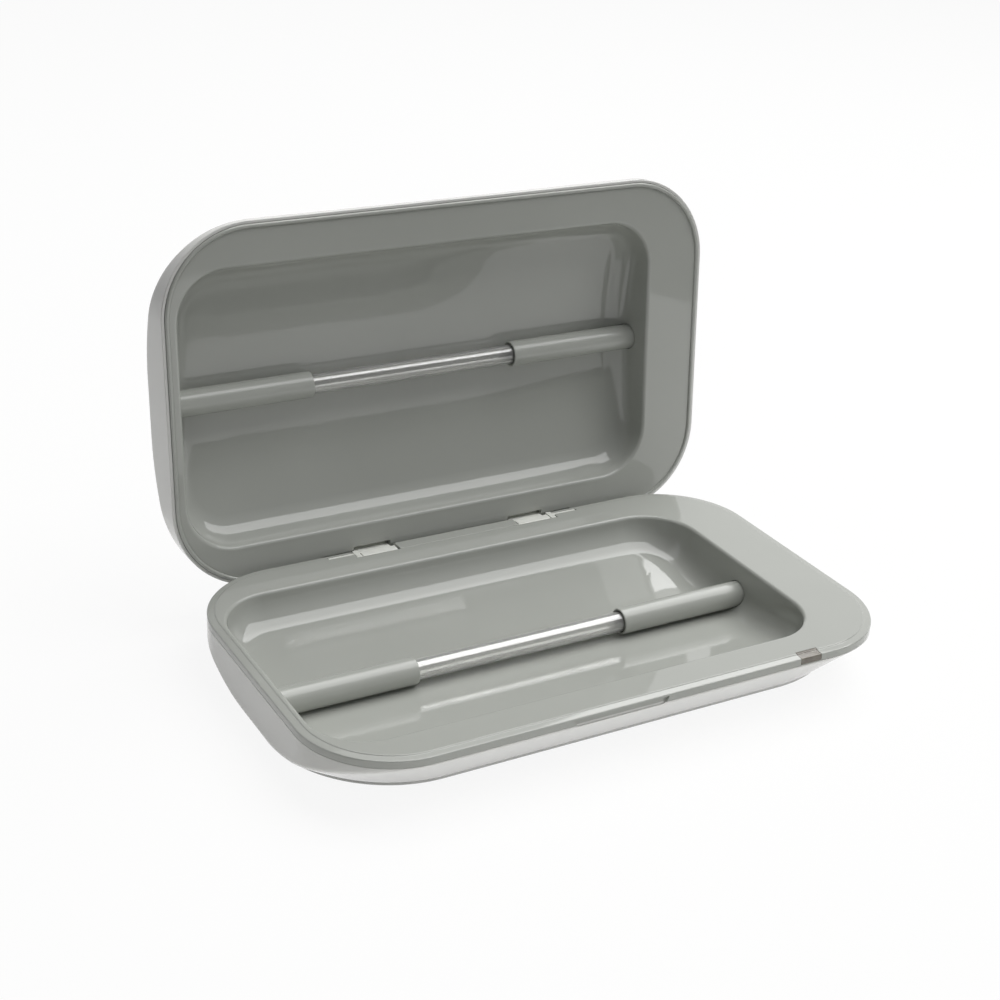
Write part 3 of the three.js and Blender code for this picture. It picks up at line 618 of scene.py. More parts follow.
def block(x: Span, y: Span, z: Span, edge: float = 0.0) -> Mesh:
    """Makes a block with eased edges.

    Args:
        x: Limits along X, in either order.
        y: Limits along Y.
        z: Limits along Z.
        edge: Radius of its edges, or 0.

    Returns:
        The mesh.
    """
    made = bmesh.new()
    bmesh.ops.create_cube(made, size=1.0)
    size = Vector([abs(b - a) for a, b in (x, y, z)])
    middle = Vector([(a + b) / 2 for a, b in (x, y, z)])
    bmesh.ops.scale(made, vec=size, verts=made.verts[:])
    bmesh.ops.translate(made, vec=middle, verts=made.verts[:])
    if edge:
        ease(made, made.edges[:], edge)
    return made


def ease(mesh: Mesh, edges: list[bmesh.types.BMEdge], radius: float, segments: int = 3) -> None:
    """Rounds edges.

    Args:
        mesh: The mesh.
        edges: The edges to round.
        radius: The rounding's width.
        segments: Its segments.
    """
    bmesh.ops.bevel(
        mesh,
        geom=edges,
        offset=radius,
        offset_type="OFFSET",
        segments=segments,
        profile=0.5,
        affect="EDGES",
        material=-1,
    )


def ease_ends(mesh: Mesh, radius: float) -> None:
    """Rounds the edges of both end faces of a prism along X."""
    ease(mesh, [e for e in mesh.edges if e.verts[0].co.x == e.verts[1].co.x], radius, 2)


def prism(outline: Outline, span: Span, axis: Axis = Axis.X) -> Mesh:
    """Makes a prism from an outline.

    Args:
        outline: Corner points: (y, z) for a prism along X, (x, z) for one along Y.
        span: Limits along the axis, in either order.
        axis: The axis.

    Returns:
        The mesh, its faces outwards.
    """
    made = bmesh.new()
    low, high = min(span), max(span)
    corners = [Vector((low, a, b)) if axis is Axis.X else Vector((a, low, b)) for a, b in outline]
    face = made.faces.new([made.verts.new(c) for c in corners])
    pulled = bmesh.ops.extrude_face_region(made, geom=[face])["geom"]
    top = [g for g in pulled if isinstance(g, bmesh.types.BMVert)]
    bmesh.ops.translate(made, vec=Vector(axis.value) * (high - low), verts=top)
    bmesh.ops.recalc_face_normals(made, faces=made.faces[:])
    return made


def turned(profile: Outline, steps: int = TURNED_STEPS) -> Mesh:
    """Spins a profile about Z.

    Args:
        profile: Points (radius, height), closed on the axis or back on the first point.
        steps: Steps round the turn.

    Returns:
        The closed mesh, its faces outwards.
    """
    made = bmesh.new()
    verts = [made.verts.new((r, 0, h)) for r, h in profile]
    for a, b in zip(verts, verts[1:]):
        made.edges.new((a, b))
    if profile[0][0] > 0:
        made.edges.new((verts[-1], verts[0]))
    bmesh.ops.spin(
        made,
        geom=made.verts[:] + made.edges[:],
        cent=(0, 0, 0),
        axis=(0, 0, 1),
        angle=math.tau,
        steps=steps,
        use_merge=True,
        use_duplicate=False,
    )
    bmesh.ops.remove_doubles(made, verts=made.verts[:], dist=MERGE)
    bmesh.ops.recalc_face_normals(made, faces=made.faces[:])
    return made


def stand(mesh: Mesh, x: float, y: float) -> Mesh:
    """Stands a turned piece at a place of the plan, and returns it."""
    bmesh.ops.translate(mesh, vec=(x, y, 0), verts=mesh.verts[:])
    return mesh


def along_x(mesh: Mesh, y: float, z: float) -> Mesh:
    """Lays a turned piece along X.

    Args:
        mesh: A piece whose axis is Z.
        y: Y of the axis.
        z: Z of the axis.

    Returns:
        The same mesh.
    """
    bmesh.ops.rotate(mesh, verts=mesh.verts[:], cent=(0, 0, 0), matrix=Matrix.Rotation(math.pi / 2, 3, "Y"))
    bmesh.ops.translate(mesh, vec=(0, y, z), verts=mesh.verts[:])
    return mesh


def rod(radius: float, span: Span, y: float, z: float, steps: int = PIN_STEPS, edge: float = 0.0) -> Mesh:
    """Makes a rod along X.

    Args:
        radius: Its radius.
        span: Its limits along X, in either order.
        y: Y of its axis.
        z: Z of its axis.
        steps: Steps round it.
        edge: Radius of the edges of its ends, or 0.

    Returns:
        The mesh.
    """
    low, high = min(span), max(span)
    lower, upper = rounded_ends(radius, low, high, edge, 3) if edge else ([(radius, low)], [(radius, high)])
    return along_x(turned([(0.0, low), *lower, *upper, (0.0, high)], steps), y, z)


def as_object(mesh: Mesh, name: str) -> bpy.types.Object:
    """Puts a mesh into the scene and frees it.

    Args:
        mesh: The mesh.
        name: The object's name.

    Returns:
        The object.
    """
    data = bpy.data.meshes.new(name)
    mesh.to_mesh(data)
    mesh.free()
    made = bpy.data.objects.new(name, data)
    bpy.context.scene.collection.objects.link(made)
    return made


def shape(mesh: Mesh, join: Join, *tools: Mesh) -> Mesh:
    """Cuts, adds or intersects closed meshes.

    Args:
        mesh: The mesh to change.
        join: What the tools do to it.
        *tools: The tools, one after the other.

    Returns:
        The new mesh.
    """
    target = as_object(mesh, "shaping_target")
    cutters = [as_object(tool, "shaping_tool") for tool in tools]
    for cutter in cutters:
        step = target.modifiers.new("shaping", "BOOLEAN")
        step.operation = join.value
        step.solver = "MANIFOLD"
        step.object = cutter
    ready = target.evaluated_get(bpy.context.evaluated_depsgraph_get())
    made = bmesh.new()
    made.from_mesh(ready.to_mesh())
    ready.to_mesh_clear()
    for used in (target, *cutters):
        data = used.data
        bpy.data.objects.remove(used)
        bpy.data.meshes.remove(data)
    return made


def cut(mesh: Mesh, *tools: Mesh) -> Mesh:
    """Cuts tools out of a mesh and returns the new mesh."""
    return shape(mesh, Join.CUT, *tools)


def add(mesh: Mesh, *tools: Mesh) -> Mesh:
    """Joins tools to a mesh and returns the new mesh."""
    return shape(mesh, Join.ADD, *tools)


@dataclass(frozen=True)
class Case:
    """Sizes that the sub-assemblies share."""

    length: float = 196.0
    width: float = 118.5
    corner: float = 29.0
    depth: float = 19.5
    shell_wall: float = 2.0
    liner_wall: float = 1.6
    lid_slab: float = 2.6
    lip: float = 1.0
    fit: float = 0.3
    rim_gap: float = 0.4
    hinge_y: float = 57.0
    hinge_drop: float = 3.8
    hinge_middle: float = -0.7
    hinge_spread: float = 30.5
    hinge_width: float = 14.8
    slit: float = 0.6
    cheek: float = 1.9
    open_degrees: float = 95.0
    foot_height: float = 1.0
    mouth: RoundedPlan = RoundedPlan(half_x=118.0, half_y=59.6, radius=52.0)
    mouth_z: float = -2.8
    foot: RoundedPlan = RoundedPlan(half_x=97.4, half_y=47.3, radius=38.0)
    foot_z: float = -17.0
    flat: RoundedPlan = RoundedPlan(half_x=91.0, half_y=42.0, radius=34.0)
    lamp_front: float = 1.5

    @property
    def outline(self) -> RoundedPlan:
        """The outline of both halves, seen from above."""
        return RoundedPlan(self.length / 2, self.width / 2, self.corner)

    @property
    def base_place(self) -> Matrix:
        """Where the base's half frame stands on the part."""
        return Matrix.Translation((0, 0, self.depth))

    @property
    def lid_place(self) -> Matrix:
        """Where the lid's half frame stands on the part, with the lid open.

        Returns:
            Its place.
        """
        swing = Matrix.Translation((0, self.hinge_y, self.depth - self.hinge_drop))
        turn = Matrix.Rotation(math.pi - math.radians(self.open_degrees), 4, "X")
        return swing @ turn @ Matrix.Translation((0, self.hinge_y, -self.hinge_drop - self.rim_gap))

    def hinge_x(self, side: Side, from_outer: float) -> float:
        """Gives an X on a hinge.

        Args:
            side: Which hinge.
            from_outer: Distance inwards from the outer end of its notch.

        Returns:
            The X.
        """
        return self.hinge_middle + side.value * (self.hinge_spread + self.hinge_width / 2 - from_outer)

    def hinge_span(self, side: Side, from_outer: float, width: float) -> Span:
        """Gives the X limits of a stretch of a hinge, from its outer end inwards."""
        return self.hinge_x(side, from_outer), self.hinge_x(side, from_outer + width)

    def place(self, body: Body) -> Matrix:
        """Gives the place of a body's half frame."""
        return self.base_place if body is Body.BASE else self.lid_place


CASE = Case()


def piece(name: str, mesh: Mesh, body: Body, finish: Finish, node: str) -> None:
    """Finishes a piece: sets it in place, shades it and hands it to the frame.

    Args:
        name: Its name.
        mesh: Its mesh, in millimetres in its half's frame.
        body: The body that it rides on.
        finish: Its finish.
        node: The solid that it stands for.
    """
    bmesh.ops.transform(mesh, matrix=Matrix.Scale(MILLIMETRE, 4) @ CASE.place(body), verts=mesh.verts[:])
    for face in mesh.faces:
        face.smooth = True
    for edge in mesh.edges:
        edge.smooth = len(edge.link_faces) == 2 and edge.calc_face_angle(0.0) < math.radians(SHARP_DEGREES)
    made = as_object(mesh, name)
    made.data.materials.append(finish.material())
    weight = made.modifiers.new("even_shading", "WEIGHTED_NORMAL")
    weight.keep_sharp = True
    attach(made, body.value)
    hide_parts(node)
    LOG.info("%s: %d faces on %s, for %s", name, len(made.data.polygons), body.value, node)


@dataclass(frozen=True)
class Tray:
    """The hollow of a liner: walls with a draft, an arched floor and a fillet between."""

    plan: RoundedPlan
    floor_depth: float = 15.4
    floor_radius: float = 152.0
    draft: float = 1.5
    edge: float = 1.2
    fillet: float = 7.0
    floor_step: float = 3.4
    floor_core: float = 1.5
    wall_shares: tuple[float, ...] = (0.25, 0.5, 0.75, 1.0)
    fillet_segments: int = 10
    edge_segments: int = 8

    def floor_z(self, y: float) -> float:
        """Gives the floor's height at a Y."""
        return self.floor_radius - self.floor_depth - math.sqrt(self.floor_radius**2 - (y - self.plan.y) ** 2)

    def wall_inset(self, z: float) -> float:
        """Gives how far the drafted wall lies inside the plan at a height."""
        return self.draft * (-self.edge - z) / (self.floor_depth - self.edge)

    def _ring(self, inset: float, rise: Callable[[float], float], wall: float = 0.0) -> Place:
        """Gives a ring whose height follows its Y.

        Args:
            inset: How far inside the plan it lies.
            rise: Height of a point with this floor height.
            wall: Share of the wall's inset at the fillet's top that is added.

        Returns:
            The ring's place function.
        """

        def place(corner: Vector, out: Vector) -> Vector:
            """Places one column.

            Args:
                corner: Its place between the corner centres.
                out: Outward direction there.

            Returns:
                Its point.
            """
            plan = self.plan.inset(inset)
            at = plan.point(corner, out)
            if wall:
                plan = self.plan.inset(inset + wall * self.wall_inset(self.floor_z(at.y) + self.fillet))
                at = plan.point(corner, out)
            at.z = rise(self.floor_z(at.y))
            return at

        return place

    def rings(self, grow: float = 0.0) -> list[Place]:
        """Gives the rings from the middle of the floor up the wall.

        Args:
            grow: How far outside the hollow they lie.

        Returns:
            The rings' place functions, up to the top of the fillet.
        """
        found = []
        inset = self.plan.half_y - self.floor_core
        while inset > self.fillet + self.floor_step / 2:
            found.append(self._ring(inset, lambda z: z - grow, 1.0))
            inset -= self.floor_step
        for turn in turns(self.fillet_segments):
            out = self.fillet - (self.fillet + grow) * math.sin(turn)
            up = self.fillet - (self.fillet + grow) * math.cos(turn)
            found.append(self._ring(out, lambda z, up=up: z + up, 1.0))
        return found

    def upper(self) -> list[Place]:
        """Gives the rings of the upper wall and of its rounded edge.

        Returns:
            The rings' place functions, up to the flange.
        """
        found = []
        top = -self.edge
        for share in self.wall_shares:
            found.append(self._ring(0.0, lambda z, s=share: (z + self.fillet) * (1 - s) + top * s, 1 - share))
        for turn in turns(self.edge_segments)[1:]:
            found.append(self.plan.ring(self.edge * (math.sin(turn) - 1), -self.edge * (1 - math.cos(turn))))
        return found


@dataclass(frozen=True)
class LampSeat:
    """Where a lamp's sleeves lie in a tray."""

    tray: Tray
    y: float
    depth: float = 10.8
    left_mouth: float = -45.9
    right_mouth: float = 27.9
    sleeve_radius: float = 4.3
    bore_clearance: float = 0.25
    end_gap: float = 0.7

    def span(self, side: Side) -> Span:
        """Gives a sleeve's mouth and its end behind the tray's wall.

        Args:
            side: Which sleeve.

        Returns:
            The X of both.
        """
        tray = self.tray
        inset = tray.draft * self.depth / tray.floor_depth
        wall = tray.plan.x + side.value * (tray.plan.half_x + CASE.liner_wall - inset)
        return (self.left_mouth if side is Side.LEFT else self.right_mouth), wall + side.value * self.end_gap

    def holes(self) -> list[Mesh]:
        """Makes the tools that open the tray's end walls for the sleeves.

        Returns:
            The tools.
        """
        tools = []
        for side in Side:
            end = self.span(side)[1]
            inside = end - side.value * (self.tray.fillet + CASE.liner_wall + self.end_gap)
            span = (inside, end + side.value * OVERRUN)
            tools.append(rod(self.sleeve_radius + self.bore_clearance, span, self.y, -self.depth, TUBE_STEPS))
        return tools


@dataclass
class Hinges:
    """The two hinges: an arm of the lid that turns on a steel pin beside its keeper, in a
    notch of the base's rim, with a low strip between the two."""

    pin_radius: float = 1.0
    pin_room: float = 0.15
    pin_reach: float = 4.0
    pin_edge: float = 0.2
    keeper_length: float = 9.2
    keeper_width: float = 1.6
    keeper_sink: float = 0.35
    slot_room: float = 0.12
    slot_end_room: float = 0.15
    arm_front: float = 2.8
    arm_back: float = 0.3
    arm_flush: float = 0.15
    arm_corner: float = 1.0
    barrel: float = 2.3
    neck_top: float = 2.4
    neck_bottom: float = 0.7
    plate_width: float = 7.6
    plate: float = 2.0
    opening_depth: float = 1.3
    notch_radius: float = 4.5
    notch_floor: float = 3.2
    strip_front: float = 54.0
    strip_inset: float = 0.01
    strip_rise: float = 0.15
    strip_root: float = 1.0
    strip_slope: Span = (0.95, 0.65)
    strip_edge: Span = (0.1, 0.08)
    relief_room: float = 0.5
    relief_depth: float = 0.8
    bead_gap: float = 76.0
    corner_segments: int = 6
    barrel_segments: int = 20
    edge: float = 0.18

    def strip(self) -> Mesh:
        """Makes the strip raised on the base's rim between the hinges.

        Returns:
            The closed mesh.
        """
        rear = CASE.width / 2 - self.strip_inset
        outline = [
            (self.strip_front, -self.strip_root),
            (rear, -self.strip_root),
            (rear, self.strip_rise - self.strip_slope[1]),
            (rear - self.strip_slope[0], self.strip_rise),
            (self.strip_front + self.strip_edge[0], self.strip_rise),
            (self.strip_front, self.strip_rise - self.strip_edge[1]),
        ]
        inner = CASE.hinge_width + CASE.slit
        return prism(outline, (CASE.hinge_x(Side.LEFT, inner), CASE.hinge_x(Side.RIGHT, inner)))

    def pin_span(self, side: Side, room: float = 0.0) -> Span:
        """Gives the X limits of a pin's bore, less some room at each end."""
        length = self.keeper_length + CASE.hinge_width + CASE.slit + self.pin_reach
        return CASE.hinge_span(side, room - self.keeper_length, length - 2 * room)

    def pin_bore(self, side: Side) -> Mesh:
        """Makes the tool for a pin's bore."""
        return rod(self.pin_radius + CASE.fit, self.pin_span(side), CASE.hinge_y, -CASE.hinge_drop)

    def keeper_slot(self, side: Side) -> Mesh:
        """Makes the tool for the slot that a keeper's bar lies in.

        Args:
            side: Which hinge.

        Returns:
            The tool.
        """
        half = self.keeper_width / 2 + self.slot_room
        span = CASE.hinge_span(side, -self.keeper_length - self.slot_end_room, self.keeper_length + CASE.fit)
        depth = CASE.hinge_drop + self.pin_radius
        return block(span, (CASE.hinge_y - half, CASE.hinge_y + half), (-depth, OVERRUN))

    def sweep(self, side: Side) -> Mesh:
        """Makes the tool for the room that an arm sweeps in the base's rim.

        Args:
            side: Which hinge.

        Returns:
            The tool.
        """
        span = CASE.hinge_span(side, -CASE.fit, CASE.hinge_width + CASE.fit + CASE.slit)
        round_room = rod(self.notch_radius, span, CASE.hinge_y, -CASE.hinge_drop, TUBE_STEPS)
        low = -CASE.hinge_drop - self.notch_floor
        radius = self.notch_radius + OVERRUN
        floor = block(span, (CASE.hinge_y - radius, CASE.hinge_y + radius), (low, OVERRUN))
        front = CASE.hinge_y - self.arm_front - CASE.fit
        above = block(span, (front, CASE.width / 2 + OVERRUN), (-CASE.hinge_drop, OVERRUN))
        return add(shape(round_room, Join.KEEP, floor), above)

    def lid_rooms(self) -> list[Mesh]:
        """Makes the tools that relieve the lid's rim over the base's raised parts.

        Returns:
            The tools.
        """
        reach = self.keeper_length + self.relief_room
        wide = (CASE.hinge_x(Side.LEFT, -reach), CASE.hinge_x(Side.RIGHT, -reach))
        over_strip = (-CASE.width, -self.strip_front - CASE.fit)
        rooms = [
            block(wide, over_strip, (-self.relief_depth, OVERRUN)),
            block((-self.bead_gap, self.bead_gap), (-CASE.width, -self.strip_front), (0.0, OVERRUN)),
        ]
        front = CASE.hinge_y - self.neck_top - CASE.fit - self.opening_depth
        for side in Side:
            span = CASE.hinge_span(side, CASE.cheek, CASE.hinge_width - CASE.cheek + CASE.slit)
            depth = CASE.lid_slab + self.plate
            rooms.append(block(span, (-front, -CASE.width / 2 + CASE.lip), (-depth, OVERRUN)))
        return rooms

    def _arm_outline(self) -> Outline:
        """Gives the outline of an arm's block, round the pin's axis, as it lies when open.

        Returns:
            Its points (y, z).
        """
        top = CASE.hinge_drop - self.arm_flush
        meets = math.degrees(math.acos(self.arm_back / self.barrel))
        centre = (self.arm_corner - self.arm_front, top - self.arm_corner)
        corner = arc(centre, self.arm_corner, self.corner_segments, 90, 180)
        barrel = arc((0.0, 0.0), self.barrel, self.barrel_segments, 180, 360 + meets)
        return [(self.arm_back, top), *corner, (-self.arm_front, 0.0), *barrel]

    def arm(self, side: Side) -> Mesh:
        """Makes the lid's arm: a block round the pin, a neck and a plate behind the rim.

        Args:
            side: Which hinge.

        Returns:
            The closed mesh.
        """
        span = CASE.hinge_span(side, CASE.cheek + CASE.fit, CASE.hinge_width - CASE.cheek - CASE.fit)
        made = prism(self._arm_outline(), span)
        ease_ends(made, self.edge)
        y, z = -CASE.hinge_y, CASE.hinge_drop + CASE.rim_gap
        turn = Matrix.Rotation(math.radians(CASE.open_degrees) - math.pi, 4, "X")
        bmesh.ops.transform(made, matrix=Matrix.Translation((0, y, z)) @ turn, verts=made.verts[:])
        low = -CASE.lid_slab - self.plate
        neck = block(span, (y - self.neck_bottom, y + self.neck_top), (low, z), self.edge)
        under = CASE.lid_slab + CASE.fit
        reach = (y + self.neck_top - self.plate, y + self.neck_top + self.plate_width)
        plate = block(span, reach, (-under - self.plate, -under), self.edge)
        through = CASE.hinge_span(side, 0, CASE.hinge_width + OVERRUN)
        return cut(add(made, neck, plate), rod(self.pin_radius + self.pin_room, through, y, z))

    def keeper(self, side: Side) -> Mesh:
        """Makes a pin keeper: a cheek beside the arm and a bar over the pin's outer length.

        Args:
            side: Which hinge.

        Returns:
            The closed mesh.
        """
        cheek = block(
            CASE.hinge_span(side, 0, CASE.cheek),
            (CASE.hinge_y - self.arm_front, CASE.width / 2 - CASE.fit),
            (-CASE.hinge_drop - self.barrel, -self.arm_flush),
            self.edge,
        )
        half = self.keeper_width / 2
        bar = block(
            CASE.hinge_span(side, -self.keeper_length, self.keeper_length + CASE.cheek / 2),
            (CASE.hinge_y - half, CASE.hinge_y + half),
            (-CASE.hinge_drop + self.pin_radius + CASE.fit, -self.keeper_sink),
            self.edge,
        )
        through = CASE.hinge_span(side, -OVERRUN, CASE.cheek + 2 * OVERRUN)
        bore = rod(self.pin_radius + self.pin_room, through, CASE.hinge_y, -CASE.hinge_drop)
        return cut(add(cheek, bar), bore)

    def pin(self, side: Side) -> Mesh:
        """Makes a pin with eased ends."""
        span = self.pin_span(side, CASE.fit)
        return rod(self.pin_radius, span, CASE.hinge_y, -CASE.hinge_drop, edge=self.pin_edge)

    def build(self) -> None:
        """Builds arms, keepers and pins."""
        for side in Side:
            name, node = f"hinge_arm_moulding_{side.word}", f"hinge_arm_{side.word}"
            piece(name, self.arm(side), Body.LID, HINGE_NYLON, node)
            name, node = f"pin_keeper_moulding_{side.word}", f"hinge_pin_keeper_{side.word}"
            piece(name, self.keeper(side), Body.BASE, HINGE_NYLON, node)
            name, node = f"hinge_pin_turned_{side.word}", f"hinge_pin_{side.word}"
            piece(name, self.pin(side), Body.BASE, PLATED_STEEL, node)


@dataclass(frozen=True)
class FingerRecess:
    """The hollow under the lid's front edge where a finger lifts it."""

    left: float = -25.0
    right: float = 7.5
    top: float = 1.05
    bottom: float = 3.6
    depth: float = 0.8
    slant: float = 1.6

    def tool(self) -> Mesh:
        """Makes the tool that cuts it.

        Returns:
            The tool.
        """
        outline = [
            (self.left, -self.top),
            (self.right, -self.top),
            (self.right - self.slant, -self.bottom),
            (self.left + self.slant, -self.bottom),
        ]
        front = -CASE.width / 2
        return prism(outline, (front - OVERRUN, front + self.depth), Axis.Y)


@dataclass
class Liners:
    """The two liners: flange, rim and tray, each moulded in one piece."""

    shoulder: float = 2.4
    shoulder_fall: float = 0.13
    shoulder_edge: float = 0.5
    step_drop: float = 0.3
    step_degrees: float = 52.0
    band_bottom: float = 2.8
    band_edge: float = 0.14
    slab: float = 2.0
    bead_width: float = 1.3
    bead_height: float = 0.6
    groove_width: float = 0.22
    groove_depth: float = 0.05
    seam: float = 0.09
    base_tray: Tray = Tray(RoundedPlan(half_x=84.55, half_y=44.95, radius=17.4, x=-9.2, y=-1.1))
    lid_tray: Tray = Tray(RoundedPlan(half_x=84.7, half_y=45.0, radius=16.3, x=-8.2))
    columns: tuple[int, int, int] = (28, 24, 24)
    step_segments: int = 4
    shoulder_segments: int = 6
    band_segments: int = 3
    bead_segments: int = 10

    def rim(self) -> Outline:
        """Gives the profile of the base's rim: a soft step, a gently falling shoulder and
        its rounded outer edge.

        Returns:
            Points (distance inside the outline, height), from the flange outwards.
        """
        step = math.radians(self.step_degrees)
        radius = self.step_drop / 2 / (1 - math.cos(step))
        run = radius * math.sin(step)
        upper, lower = (self.shoulder + run, -radius), (self.shoulder - run, radius - self.step_drop)
        found = arc(upper, radius, self.step_segments, 90, 90 + self.step_degrees)
        found += arc(lower, radius, self.step_segments, self.step_degrees - 90, -90)[1:]
        slope = math.atan2(self.shoulder_fall, found[-1][0] - self.shoulder_edge)
        low = -self.step_drop - self.shoulder_fall - self.shoulder_edge * math.cos(slope)
        start = 90 + math.degrees(slope)
        return found + arc((self.shoulder_edge, low), self.shoulder_edge, self.shoulder_segments, start, 180)

    def _tray_skin(self, tray: Tray) -> RingLoft:
        """Starts a liner's skin with its tray, from the middle of the floor to the edge."""
        first, *others = tray.rings()
        return RingLoft(*self.columns).to(first).cap().to(*others, *tray.upper())

    def _under(self, loft: RingLoft, tray: Tray, slab: float) -> Mesh:
        """Closes a liner's underside.

        Args:
            loft: The liner's skin, down to the slab's underside.
            tray: The tray whose outside follows.
            slab: Depth of the slab's underside.

        Returns:
            The closed mesh.
        """
        wall = CASE.liner_wall
        loft.to(tray.plan.ring(-slab, -wall))
        loft.to(*reversed(tray.rings(wall))).cap()
        return loft.closed()

    def base_mesh(self) -> Mesh:
        """Makes the base's liner before its cuts.

        Returns:
            The closed mesh.
        """
        outline = CASE.outline
        loft = self._tray_skin(self.base_tray)
        loft.to(*[outline.ring(z, inset) for inset, z in self.rim()])
        loft.to(outline.ring(self.band_edge - self.band_bottom))
        for turn in turns(self.band_segments)[1:]:
            low = -self.band_bottom + self.band_edge * (1 - math.sin(turn))
            loft.to(outline.ring(low, self.band_edge * (1 - math.cos(turn))))
        loft.to(outline.ring(-self.band_bottom, CASE.shell_wall), outline.ring(-self.slab, CASE.shell_wall))
        return self._under(loft, self.base_tray, self.slab)

    def lid_mesh(self) -> Mesh:
        """Makes the lid's liner before its cuts.

        Returns:
            The closed mesh.
        """
        outline = CASE.outline
        edge = CASE.lip + self.seam
        foot = edge + self.bead_width
        loft = self._tray_skin(self.lid_tray)
        loft.to(
            outline.ring(0.0, foot + self.groove_width + self.groove_depth / 2),
            outline.ring(-self.groove_depth, foot + self.groove_width),
            outline.ring(-self.groove_depth, foot),
        )
        for turn in turns(self.bead_segments, 180, 0):
            inset = edge + self.bead_width / 2 * (1 - math.cos(turn))
            loft.to(outline.ring(self.bead_height * math.sin(turn), inset))
        loft.to(outline.ring(-CASE.lid_slab, edge))
        return self._under(loft, self.lid_tray, CASE.lid_slab)

    def build(self, hinges: Hinges, indicator: "Indicator", recess: FingerRecess) -> None:
        """Builds both liners.

        Args:
            hinges: The hinges, which are let into both rims.
            indicator: The window in the base's front edge.
            recess: The finger recess in the base's front band.
        """
        tools = [hinges.sweep(side) for side in Side]
        tools += [hinges.pin_bore(side) for side in Side]
        tools += [hinges.keeper_slot(side) for side in Side]
        tools += [recess.tool(), *indicator.rooms()]
        tools += LampSeat(self.base_tray, -CASE.lamp_front).holes()
        base = cut(add(self.base_mesh(), hinges.strip()), *tools)
        piece("base_liner_moulding", base, Body.BASE, LINER_ABS, "base_liner")
        lid = cut(self.lid_mesh(), *LampSeat(self.lid_tray, CASE.lamp_front).holes(), *hinges.lid_rooms())
        piece("lid_liner_moulding", lid, Body.LID, LINER_ABS, "lid_liner")


